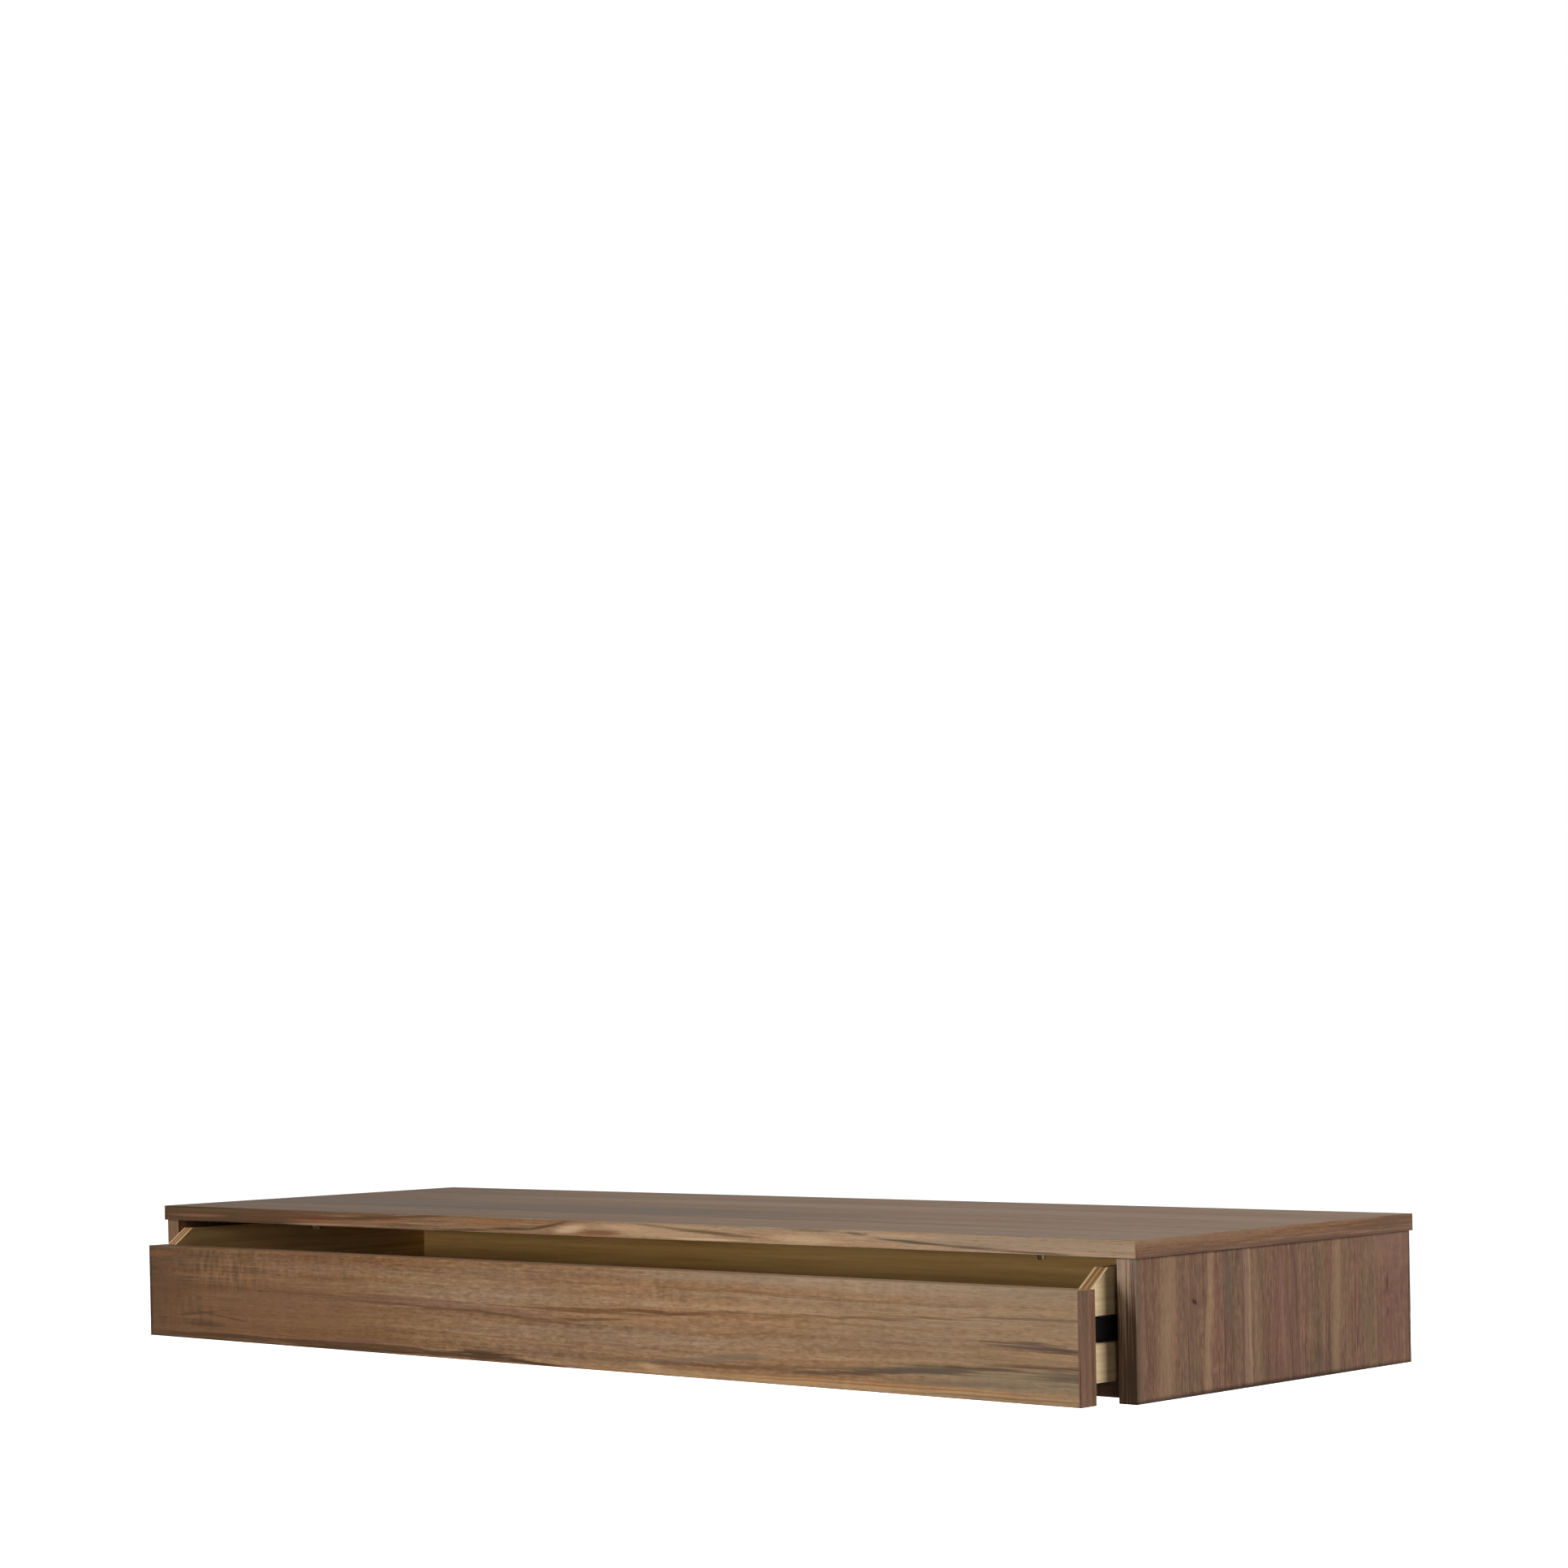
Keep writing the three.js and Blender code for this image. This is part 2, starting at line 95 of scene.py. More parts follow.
MATH, VECTOR, MIX = "ShaderNodeMath", "ShaderNodeVectorMath", "ShaderNodeMix"
RANGE, RAMP, NOISE = "ShaderNodeMapRange", "ShaderNodeValToRGB", "ShaderNodeTexNoise"
JOIN, SPLIT = "ShaderNodeCombineXYZ", "ShaderNodeSeparateXYZ"
# A Map Range node is fed its value, the low and the high end it comes from, and those it goes to
SOFT = {"interpolation_type": "SMOOTHSTEP"}
# The sockets and settings of a Mix node that lays one colour over another, or multiplies them
FACTOR, FIRST, SECOND = 0, 6, 7
OVER = {"out": 2, "data_type": "RGBA"}
TIMES = dict(OVER, blend_type="MULTIPLY")


def new_material(name):
    """A material with an empty tree."""
    material = bpy.data.materials.new(name)
    material.use_nodes = True
    material.node_tree.nodes.clear()
    return material, material.node_tree


def shaded(tree, colour, level):
    """A colour made lighter or darker by a level about 1."""
    grey = add(tree, "ShaderNodeCombineColor", [level, level, level])
    return add(tree, MIX, {FACTOR: 1.0, FIRST: colour, SECOND: grey}, **TIMES)


def coated(material, colour, gloss, relief, strength, depth, **sockets):
    """Ends a material with its surface, which has a relief of some depth in mm."""
    tree = material.node_tree
    bump = add(tree, "ShaderNodeBump", {
        "Height": relief, "Strength": strength, "Distance": depth * MM})
    surface = add(tree, "ShaderNodeBsdfPrincipled", dict(
        {"Base Color": colour, "Roughness": gloss, "Normal": bump},
        **{key.replace("_", " "): value for key, value in sockets.items()}))
    add(tree, "ShaderNodeOutputMaterial", {"Surface": surface}, out=None)
    return material


def board_place(tree, along, across, through):
    """Object coordinates in millimetres, turned so that x runs along the grain and y across it."""
    spot = add(tree, "ShaderNodeTexCoord", out="Object")
    parts = add(tree, SPLIT, [spot], out=None).outputs
    turned = add(tree, JOIN, [parts[along], parts[across], parts[through]])
    return add(tree, VECTOR, {0: turned, "Scale": 1 / MM}, operation="SCALE")


def fibres(tree, place, length, width, shift, detail=2.0):
    """Noise drawn out along the grain: length and width are the size of its spots in mm."""
    spot = add(tree, VECTOR, [place, (1 / length, 1 / width, 1 / width),
                              (shift, -shift, shift)], operation="MULTIPLY_ADD")
    return add(tree, NOISE, {"Vector": spot, "Scale": 1.0, "Detail": detail, "Roughness": 0.6})


def mixture(tree, parts, level=0.5):
    """Patterns that lie about 0.5, added by weight to a level."""
    total = level - sum(weight for _, weight in parts) / 2
    for value, weight in parts:
        total = add(tree, MATH, [value, weight, total], operation="MULTIPLY_ADD")
    return total


# A mark is full up to this share of its size from its middle, and gone at that one
MARK_FULL, MARK_GONE = 0.3, 1.2


def inside_mark(tree, place, centre, size, ragged, tilt=0.0):
    """1 inside an ellipse on the leaf, 0 outside, broken up at its edge."""
    spot = add(tree, "ShaderNodeMapping", {
        "Vector": place, "Location": centre, "Rotation": (0.0, 0.0, math.radians(tilt)),
        "Scale": size}, vector_type="TEXTURE")
    away = add(tree, VECTOR, [spot], out="Value", operation="LENGTH")
    away = add(tree, MATH, [away, ragged], operation="ADD")
    return add(tree, RANGE, [away, MARK_FULL, MARK_GONE, 1.0, 0.0], **SOFT)


# Walnut. Each look is the figure of one leaf of veneer or one edge band, as it lies on the
# cabinet: "grain" names the axes along, across and through the leaf, "tones" the dark, middle and
# light wood, "streak" the width of its broad streaks, "contrast" the strength of its streaks from
# broad to fine, "lines" the spacing and strength of its growth lines, "lean" how much lighter it
# gets in a metre along the grain, "hue" its slow change of colour, "drift" how far its fibres bend,
# "wander" the size of those bends, "curl" how much it ripples all over and "ragged" how far its
# marks break up into the fibres. "figures" are its own marks, (along, across, half length, half
# width, tone, strength) and a tilt in degrees where they have one. "curls" are the places where
# its fibres ripple more, (along, across, half length, half width, strength). Both lie at "depth"
# and go through by "reach".
X, Y, Z = 0, 1, 2
# The half width past which a mark is a broad shade, and how ragged such a shade stays
BROAD, BROAD_RAGGED = 60, 0.15
# How far the growth lines swing with the broad streaks
LINE_SWING = 45.0
# The levels of noise at which a pore begins and is full
PORE_EDGE, PORE_FULL = 0.58, 0.72
LACQUER_IOR = 1.5
COOL_WARM = [(0.36, "#f0f3f6"), (0.64, "#fff4e8")]
OLIVE_RED = [(0.36, "#f1f1e6"), (0.64, "#fff1ec")]


def walnut(name, look):
    """Sliced walnut under a thin satin lacquer: streaked brown heartwood with fine dark pores."""
    material, tree = new_material(name)
    place = board_place(tree, *look["grain"])
    shift, tones, drift, wander = (look[key] for key in ("shift", "tones", "drift", "wander"))
    # The fibres wander slowly from side to side, with small quick waves on top
    slow = fibres(tree, place, 380.0 * wander, 70.0 * wander, shift)
    quick = fibres(tree, place, 75.0 * wander, 22.0 * wander, shift + 2.2)
    sway = mixture(tree, [(slow, 2.0 * drift), (quick, 0.6 * drift)], 0.0)
    fibre = add(tree, VECTOR, [place, add(tree, JOIN, {1: sway})], operation="ADD")
    broad = fibres(tree, fibre, 900.0, look["streak"], shift + 3.1)
    middle = fibres(tree, fibre, 420.0, 7.0, shift + 7.7)
    narrow = fibres(tree, fibre, 130.0, 2.0, shift + 4.4)
    fine = fibres(tree, fibre, 34.0, 0.7, shift + 1.3)
    fleck = fibres(tree, fibre, 9.0, 2.4, shift + 8.6)

    # Growth lines follow the broad streaks
    spacing, depth = look["lines"]
    across = add(tree, SPLIT, [fibre], out=1)
    across = add(tree, MATH, [broad, LINE_SWING, across], operation="MULTIPLY_ADD")
    across = add(tree, MATH, [across, math.tau / spacing], operation="MULTIPLY")
    wave = add(tree, MATH, [across], operation="SINE")
    tone = mixture(tree, list(zip((broad, middle, narrow, fine, fleck), look["contrast"])))
    tone = add(tree, MATH, [wave, depth, tone], operation="MULTIPLY_ADD")
    along = add(tree, SPLIT, [place], out=0)
    tone = add(tree, MATH, [along, look["lean"] * MM, tone], operation="MULTIPLY_ADD")
    colour = add(tree, RAMP, [tone], stops=[
        (0.1, tones["dark"]), (0.5, tones["middle"]), (0.9, tones["light"])])
    hue = add(tree, RAMP, [fibres(tree, fibre, 500.0, 17.0, shift + 12.5)], stops=look["hue"])
    colour = add(tree, MIX, {FACTOR: 1.0, FIRST: colour, SECOND: hue}, **TIMES)

    # The leaf's own marks follow the fibres, and break up into them at their edges; broad shades
    # fade out evenly
    ragged = mixture(tree, [(middle, 1.4 * look["ragged"]), (narrow, 2.2 * look["ragged"]),
                            (fine, 1.2 * look["ragged"])], 0.0)
    even = add(tree, MATH, [ragged, BROAD_RAGGED], operation="MULTIPLY")
    for at, height, half_length, half_width, shade, strength, *tilt in look["figures"]:
        cover = inside_mark(tree, fibre, (at, height, look["depth"]),
                            (half_length, half_width, look["reach"]),
                            even if half_width > BROAD else ragged, *tilt)
        cover = add(tree, MATH, [cover, strength], operation="MULTIPLY")
        colour = add(tree, MIX, {FACTOR: cover, FIRST: colour, SECOND: linear(tones[shade])},
                     **OVER)

    # Ripples across the grain, where the fibres of the trunk were curly
    waves = fibres(tree, place, 12.0, 40.0, shift + 5.0)
    ripple = mixture(tree, [(waves, 2.0 * look["curl"])], 1.0)
    strokes = fibres(tree, place, 7.5, 21.0, shift + 6.0, 1.0)
    for at, height, half_length, half_width, strength in look["curls"]:
        cover = inside_mark(tree, place, (at, height, look["depth"]),
                            (half_length, half_width, look["reach"]), ragged)
        stroke = mixture(tree, [(strokes, 2.0 * strength)], 0.0)
        ripple = add(tree, MATH, [cover, stroke, ripple], operation="MULTIPLY_ADD")
    colour = shaded(tree, colour, ripple)

    # Pores are short dark dashes, drawn about twice their real width so that they show
    pores = fibres(tree, fibre, 13.0, 0.6, shift + 9.0)
    pores = add(tree, RANGE, [pores, PORE_EDGE, PORE_FULL], **SOFT)
    dark = add(tree, MATH, [pores, look["pores"]], operation="MULTIPLY")
    colour = add(tree, MIX, {FACTOR: dark, FIRST: colour, SECOND: linear(tones["pore"])}, **OVER)
    relief = add(tree, MATH, [pores, -0.8, fine], operation="MULTIPLY_ADD")
    gloss = mixture(tree, [(fine, 0.14)], look["roughness"])
    return coated(material, colour, gloss, relief, strength=0.35, depth=0.08, IOR=LACQUER_IOR,
                  Specular_IOR_Level=look["specular"])


def plywood(name, look):
    """Birch plywood under matt lacquer: pale faces, its edges striped by dark and light plies."""
    material, tree = new_material(name)
    place = board_place(tree, *look["grain"])
    plies, tones, (low, high) = look["plies"], look["tones"], look["between"]
    depth = add(tree, SPLIT, [place], out=2)
    if look["mirrored"]:
        depth = add(tree, MATH, [depth], operation="ABSOLUTE")
    layer = add(tree, RANGE, [depth, low, high, 0.0, plies], clamp=False)
    wobble = add(tree, NOISE, {"Vector": place, "Scale": 0.016, "Detail": 2.0})
    wobble = mixture(tree, [(wobble, 0.24)], 0.0)
    layer = add(tree, MATH, [layer, wobble], operation="ADD")
    layer = add(tree, "ShaderNodeClamp", [layer, FACE_SHARE, plies - FACE_SHARE])
    index = add(tree, MATH, [layer], operation="FLOOR")
    crossed = add(tree, MATH, [index, plies - 1.0], operation="MODULO")
    crossed = add(tree, MATH, [crossed], operation="SIGN")
    inner = add(tree, MATH, [layer, plies / 2], operation="SUBTRACT")
    inner = add(tree, MATH, [inner], operation="ABSOLUTE")
    inner = add(tree, MATH, [inner, plies / 2 - FACE_SHARE - 0.01], operation="LESS_THAN")
    alternate = add(tree, MATH, [index, 2.0], operation="MODULO")
    speckle = add(tree, NOISE, {"Vector": place, "Scale": 1.1, "Detail": 2.0})
    streak = fibres(tree, place, 160.0, 5.0, look["shift"], 3.0)
    face = add(tree, RAMP, [mixture(tree, [(streak, 1.3)])],
               stops=[(0.2, tones["grain"]), (0.75, tones["face"])])
    # On its edges the outer plies are a dull tan and the rotary-cut core between them is browner
    core = add(tree, RAMP, [mixture(tree, [(alternate, -0.5), (speckle, 1.0)])],
               stops=[(0.2, tones["end_dark"]), (0.8, tones["end"])])
    cut = add(tree, MIX, {FACTOR: crossed, FIRST: linear(tones["edge"]), SECOND: core}, **OVER)
    colour = add(tree, MIX, {FACTOR: inner, FIRST: face, SECOND: cut}, **OVER)
    # A thin dark line of glue between the plies
    within = add(tree, MATH, [layer], operation="FRACT")
    within = add(tree, MATH, [within, 0.5], operation="SUBTRACT")
    within = add(tree, MATH, [within], operation="ABSOLUTE")
    glue = add(tree, RANGE, [within, 0.4, 0.5, 0.0, 0.5], **SOFT)
    colour = add(tree, MIX, {FACTOR: glue, FIRST: colour, SECOND: linear(tones["glue"])}, **OVER)
    return coated(material, colour, 0.6, streak, strength=0.3, depth=0.06, IOR=LACQUER_IOR,
                  Specular_IOR_Level=0.3)


def plain(name, colour, roughness, mottle, spot, relief=0.0, **sockets):
    """A metal, turned wood or rubber: an even colour, with a fine mottle in tone and gloss."""
    material, tree = new_material(name)
    place = board_place(tree, X, Y, Z)
    spots = add(tree, NOISE, {"Vector": place, "Scale": 1.0 / spot, "Detail": 3.0})
    tinted = shaded(tree, linear(colour), mixture(tree, [(spots, 2 * mottle)], 1.0))
    gloss = mixture(tree, [(spots, mottle)], roughness)
    return coated(material, tinted, gloss, spots, strength=relief, depth=0.05, **sockets)


WALNUT = dict(
    drift=5.0, streak=26.0, lines=(9.0, 0.05), contrast=(0.6, 0.5, 0.8, 0.8, 0.5), curl=0.05,
    lean=0.0, pores=0.5, roughness=0.6, specular=0.12, depth=0.0, reach=1e6, figures=[], curls=[],
    hue=COOL_WARM, ragged=1.0, wander=1.0)

LOOKS = {}
# The drawer's front: darker and curly at the left, paler and greyer at the right, with a strip
# of sapwood along its lower right edge, and dark lines of painted shade along its left end and
# lower edge
LOOKS["walnut_front"] = dict(
    WALNUT, grain=(X, Z, Y), shift=11.0, lean=0.3,
    contrast=(0.6, 0.3, 0.35, 0.5, 0.7), curl=0.13,
    tones=dict(dark="#5a3e26", middle="#886a4f", light="#a68c70", line="#563b25",
               slate="#51453a", heart="#3c2716", sap="#a88763", grey="#6f6050", red="#6b4a3e",
               brown="#64462d", olive="#86745c", pore="#4a3524", rust="#8d5c34", burnt="#1c110a",
               pale="#9f8b76", plum="#4d3c37"),
    figures=[
        (-760, -15, 320, 110, "heart", 0.76), (-700, -20, 130, 110, "heart", 0.28),
        (-450, -30, 270, 80, "brown", 0.68), (400, 40, 330, 12, "pale", 0.45),
        # The dark lines at the left end and along the lower edge are painted shade
        (580, 0, 280, 70, "olive", 0.3), (-668, -9, 3.6, 90, "burnt", 0.8),
        (-480, -61, 430, 4.2, "burnt", 0.85), (-660, 34, 50, 4, "rust", 0.25),
        (-500, 20, 90, 5, "heart", 0.3), (-595, -1, 120, 5.5, "line", 0.75),
        (-380, -2, 140, 3, "line", 0.45, 0.5), (-568, -43, 34, 4.5, "heart", 0.75),
        (-590, -33, 60, 1.6, "heart", 0.6, 6.0), (-520, -35, 50, 1.6, "heart", 0.5, -5.0),
        (-540, -57, 150, 6.5, "heart", 0.85), (-330, -56, 240, 6.5, "heart", 0.8),
        (-290, -49, 120, 2.2, "red", 0.7, 0.6), (-96, -53, 50, 4.2, "heart", 0.95, -1.0),
        (-30, -57.5, 60, 1.8, "heart", 0.9, -2.0), (-160, -5, 190, 5.5, "red", 0.5, -1.0),
        (-175, -9, 200, 1.8, "line", 0.75, -1.4), (50, -1, 150, 2.6, "line", 0.65, 1.0),
        (62, -9, 80, 2.4, "line", 0.7, 3.2), (187, 1.3, 100, 2.2, "line", 0.6, 3.7),
        (460, 9.3, 240, 2.2, "line", 0.55, 1.6), (600, 13, 80, 3.5, "grey", 0.5, 0.6),
        (330, 24, 260, 2.4, "line", 0.3, -0.6), (230, -38, 110, 3.2, "grey", 0.7, 4.5),
        (280, -43, 160, 2.4, "line", 0.5, 1.5), (400, -43.5, 80, 3.2, "line", 0.8, 3.0),
        (600, -38, 150, 15, "olive", 0.75), (500, -36.5, 200, 4.2, "slate", 0.85, 3.4),
        (600, -28, 100, 2.6, "line", 0.6, 2.0), (560, -46, 140, 3.0, "grey", 0.7, 1.5),
        (640, -9, 70, 4.4, "plum", 0.9, -1.0), (670, -34, 70, 9, "slate", 0.7),
        (400, -54.6, 310, 4.4, "sap", 0.9), (330, -49.8, 220, 1.1, "rust", 0.7, 0.3),
        (450, -53.2, 230, 1.0, "rust", 0.8), (560, -57, 120, 1.0, "line", 0.5),
        (138, -52, 24, 3.6, "sap", 0.9, -4.0),
    ],
    curls=[(-530, 18, 120, 32, 0.85), (-330, 22, 120, 24, 0.3), (140, 22, 60, 22, 0.35),
           (420, 28, 90, 18, 0.25), (-600, -30, 70, 22, 0.5)])
# The front's end bands: plain red-brown, a dark line of painted shade at the corner
LOOKS["walnut_front_edge"] = dict(
    WALNUT, grain=(Z, Y, X), shift=23.0, streak=8.0, curl=0.02, depth=-670.0, reach=60.0,
    tones=dict(dark="#5f4638", middle="#785c4b", light="#8a6d5b", pore="#493427",
               burnt="#2a1a0c"),
    figures=[(0, -490, 400, 3.2, "burnt", 0.85)])
# The top: greyer than the front, partly as a painted reflection of the white surround, darker
# along its front and at its left end
LOOKS["walnut_top"] = dict(
    WALNUT, grain=(X, Y, Z), shift=31.0, streak=60.0, lean=0.42, roughness=0.72, specular=0.16,
    tones=dict(dark="#5c4a3b", middle="#796553", light="#947f6c", pore="#4d3d30", line="#4c3d31",
               grey="#5b4f44"),
    figures=[
        (-150, -295, 460, 85, "grey", 0.7), (-700, -290, 340, 85, "grey", 0.7),
        (-672, -330, 36, 150, "dark", 0.8), (-700, -60, 260, 60, "line", 0.35),
        (-420, -330, 420, 30, "line", 0.5), (250, -340, 420, 14, "line", 0.45, -1.0),
        (100, -130, 600, 40, "light", 0.45),
    ])
# The top's front band: dark at the left, arched streaks in the middle, a long dark lens and
# pale wood at the right
LOOKS["walnut_top_front_edge"] = dict(
    WALNUT, grain=(X, Z, Y), shift=47.0, streak=9.0, drift=1.5, lean=0.45, ragged=0.4,
    contrast=(0.5, 0.5, 0.6, 0.6, 0.3),
    tones=dict(dark="#573f2a", middle="#876c53", light="#b0957a", line="#4a321d", red="#6b432c",
               sap="#b99d7b", grey="#564839", pale="#8f7c69", brown="#513824", pore="#4f3a28",
               deep="#23150a", rust="#86593b", olive="#54401f", ember="#57301f", blush="#b08b6e"),
    figures=[
        (-560, 77, 290, 26, "brown", 0.97), (-740, 77, 260, 90, "deep", 0.47),
        (-700, 77, 6, 40, "deep", 0.9), (-620, 84.5, 90, 1.6, "deep", 0.8),
        (-500, 70, 95, 3.4, "deep", 0.55), (110, 77, 130, 10, "sap", 0.5),
        (-610, 82, 90, 2.6, "olive", 0.6), (-590, 69, 60, 1.8, "deep", 0.8),
        (-640, 75.5, 60, 2.2, "rust", 0.5, 0.3), (-507, 75, 40, 3.0, "line", 0.8, 0.6),
        (-433, 77.4, 36, 1.8, "ember", 0.9, 1.0), (-410, 74.3, 70, 1.5, "rust", 0.6, 0.5),
        (-420, 70.6, 75, 1.8, "blush", 0.4, 0.3), (-335, 79.6, 64, 3.4, "line", 0.9, 2.2),
        (-262, 82.3, 55, 1.6, "line", 0.8, 2.2), (-310, 75.7, 55, 2.0, "rust", 0.65, 3.2),
        (-150, 78.5, 60, 3.0, "rust", 0.5), (-180, 70.4, 60, 1.8, "line", 0.75, 2.3),
        (-110, 72.8, 40, 2.0, "line", 0.9, 1.0), (-62, 76, 30, 1.8, "line", 0.8, 8.0),
        (-40, 80, 22, 1.6, "line", 0.6, 10.0), (-20, 75, 28, 5, "sap", 0.8, 6.0),
        (25, 73, 38, 3.0, "red", 0.85), (58, 78.5, 34, 2.8, "blush", 0.8, -3.0),
        (110, 81, 50, 1.6, "line", 0.5, -4.0), (182, 76.6, 62, 2.4, "line", 0.75, -3.0),
        (175, 70.5, 60, 1.4, "sap", 0.9), (305, 74, 50, 5, "sap", 0.7, -1.0),
        (320, 83, 50, 2, "grey", 0.4, -1.0), (590, 77, 190, 14, "pale", 0.65),
        (370, 81.5, 18, 1.8, "grey", 0.8, -3.0), (430, 75.8, 58, 1.6, "grey", 0.95, -3.0),
        (520, 72, 60, 1.4, "grey", 0.85, -1.6), (590, 69.8, 50, 1.3, "grey", 0.9, -1.0),
        (430, 80.5, 55, 2.6, "sap", 0.4, -1.0), (610, 71.6, 80, 1.2, "blush", 0.6),
    ])
# The top's end bands: even brown, redder along the lower half
LOOKS["walnut_top_end_edge"] = dict(
    WALNUT, grain=(Y, Z, X), shift=59.0, streak=9.0, drift=1.5,
    tones=dict(dark="#5c4133", middle="#80624c", light="#957860", pore="#473427", line="#513a2f",
               red="#674c3e"),
    figures=[
        (-445, 84, 150, 5, "light", 0.6), (-30, 74, 100, 20, "line", 0.55),
        (-170, 70.5, 420, 6, "red", 0.85), (-150, 68.5, 400, 2.4, "line", 0.5),
    ])
# The sides: upright stripes in warm tan and cool red-brown, with one small knot on the right, and
# dark lines of painted shade along the right side's foot and back edge and under the top's overhang
LOOKS["walnut_side"] = dict(
    WALNUT, grain=(Z, Y, X), shift=71.0, streak=14.0, depth=696.0, reach=120.0, drift=6.0,
    hue=OLIVE_RED, contrast=(0.35, 0.45, 0.6, 1.0, 1.0), lines=(7.0, 0.06), pores=0.8,
    wander=0.4,
    tones=dict(dark="#563f35", middle="#735a4b", light="#8d735f", line="#4d362e", tan="#9c8063",
               grey="#5c5143", knot="#2c1812", red="#6e4e43", olive="#6a5b48", pore="#3a2720",
               blush="#8a6d5e", burnt="#20120c"),
    figures=[
        (10, -396, 120, 15, "tan", 0.5, 3.0), (55, -36, 32, 44, "blush", 0.5),
        (-50, -180, 26, 90, "line", 0.3), (0, -437, 150, 7, "olive", 0.6),
        (-60, -440, 80, 3, "line", 0.5), (0, -30, 130, 40, "red", 0.5),
        (0, -333.5, 150, 5.5, "tan", 0.62, 2.7), (0, -275, 150, 7, "blush", 0.7),
        (0, -271, 150, 2.2, "tan", 0.6), (-30, -281, 90, 1.3, "line", 0.6),
        (0, -261, 150, 6.5, "tan", 0.3), (0, -128, 150, 9, "tan", 0.42),
        (-20, -141, 70, 2.2, "line", 0.6), (0, -77, 150, 12, "olive", 0.15),
        (10, -215, 150, 34, "red", 0.45), (-20, -240, 70, 2.0, "line", 0.6, 6.0),
        (-25, -228, 60, 1.8, "line", 0.4, 5.0), (-20, -206, 70, 2.0, "line", 0.6, -6.0),
        (-10, -194, 80, 2.0, "line", 0.5, -5.0), (10, -184, 80, 1.8, "line", 0.4, -4.0),
        (0, -219, 60, 3.0, "blush", 0.4, -2.0), (36, -304, 34, 9, "grey", 0.75),
        (-25, -310, 55, 3.0, "line", 0.7, 1.0), (-30, -297, 50, 1.8, "line", 0.5),
        (20, -361, 60, 8, "red", 0.6), (-20, -366, 60, 2.0, "line", 0.5, -3.0),
        (20, -96, 60, 1.6, "line", 0.7), (24, -354, 13, 10, "red", 0.7, 112),
        (24, -354, 7.5, 2.8, "knot", 0.95, 112), (20, -40, 14, 3.2, "line", 1.0),
        (-8, -40, 9, 3.0, "line", 0.9), (-27, -92, 16, 2.6, "line", 0.8),
        # The three dark lines along the foot, under the top's overhang and along the back edge are
        # painted shade
        (-60.2, -222, 4.8, 400, "burnt", 0.85), (68.3, -222, 2.6, 400, "burnt", 0.5),
        (0, -0.5, 200, 4.4, "burnt", 0.75),
    ],
    curls=[(20, -30, 60, 30, 0.35), (30, -330, 30, 30, 0.2)])
# The right side's front band: pale grey-brown above, dark below where the drawer front's shadow
# is painted on, with painted shade along its foot
LOOKS["walnut_side_edge"] = dict(
    WALNUT, grain=(Z, X, Y), shift=83.0, streak=8.0,
    tones=dict(dark="#735f50", middle="#907c6c", light="#a6917f", pore="#625043",
               heart="#4e3a2d", burnt="#20140c"),
    figures=[
        # The broad dark mark is the drawer front's cast shadow, painted; the line at the foot is
        # painted shade
        (-30, 686, 92, 60, "heart", 0.95), (-61, 686, 3, 60, "burnt", 0.9),
    ])
# The left side's front band: plain, and darker than the right one as painted shade
LOOKS["walnut_left_side_edge"] = dict(
    WALNUT, grain=(Z, X, Y), shift=89.0, streak=8.0,
    tones=dict(dark="#523d2b", middle="#674f39", light="#79604a", pore="#40301f"))
# The bottom: plain middling brown
LOOKS["walnut_bottom"] = dict(
    WALNUT, grain=(X, Y, Z), shift=97.0,
    tones=dict(dark="#5a4435", middle="#785f4c", light="#8c725e", pore="#46342a"))
# The back panel: plain darker brown
LOOKS["walnut_back"] = dict(
    WALNUT, grain=(X, Z, Y), shift=103.0, streak=40.0,
    tones=dict(dark="#4d3b2b", middle="#65503b", light="#78634c", pore="#3c2d20"))
FINISHES = {name: walnut("lacquered_sliced_" + name, look) for name, look in LOOKS.items()}

# Birch plywood. "between" is where its faces lie through the board, "mirrored" says that it is one
# of a pair, left and right. The outer part of a face ply, this share of it, looks like the face
# at the edges too.
FACE_SHARE = 0.3
BIRCH = dict(face="#e6cfa6", grain="#cdae82", edge="#a38a66", end="#967149", end_dark="#684729",
             glue="#38230f")
PLY = dict(tones=BIRCH, plies=5, mirrored=False, shift=5.0)
SIDE_PLY = dict(PLY, grain=(Y, Z, X), mirrored=True, between=(651.0, 666.0))
for name, look in {
        "side": SIDE_PLY,
        # The left side and back take deeper, warmer tones than the right side: painted shade and
        # warm bounced light inside the drawer
        "left_side": dict(SIDE_PLY, tones=dict(BIRCH, face="#e4c38b", grain="#caa26c"), shift=8.0),
        "inner_front": dict(PLY, grain=(X, Z, Y), between=(-467.0, -452.0), shift=15.0),
        "back": dict(PLY, tones=dict(BIRCH, face="#e0b87a", grain="#c3985d"), grain=(X, Z, Y),
                     between=(-92.0, -77.0), shift=25.0),
        "bottom": dict(PLY, grain=(X, Y, Z), between=(-33.2, -27.2), plies=3, shift=35.0),
}.items():
    FINISHES["ply_" + name] = plywood("lacquered_birch_plywood_" + name, look)
FINISHES["ply_rail"] = plywood("planed_plywood_rail", dict(
    PLY, grain=(X, Z, Y), between=(-15.0, 0.0), shift=45.0))

# Plain finishes: colour, roughness, mottle, size of its spots in mm, relief
# Beech: a warm pale tan, dull, with fine flecks
TURNED_BEECH = plain("turned_beech", "#c79f6b", 0.6, 0.15, 1.2, 0.3)
# Dipped and baked steel: an even black film with a slight orange peel
COATED_STEEL = plain("black_dip_coated_steel", "#080606", 0.5, 0.1, 1.5, 0.15,
                     Specular_IOR_Level=0.15)
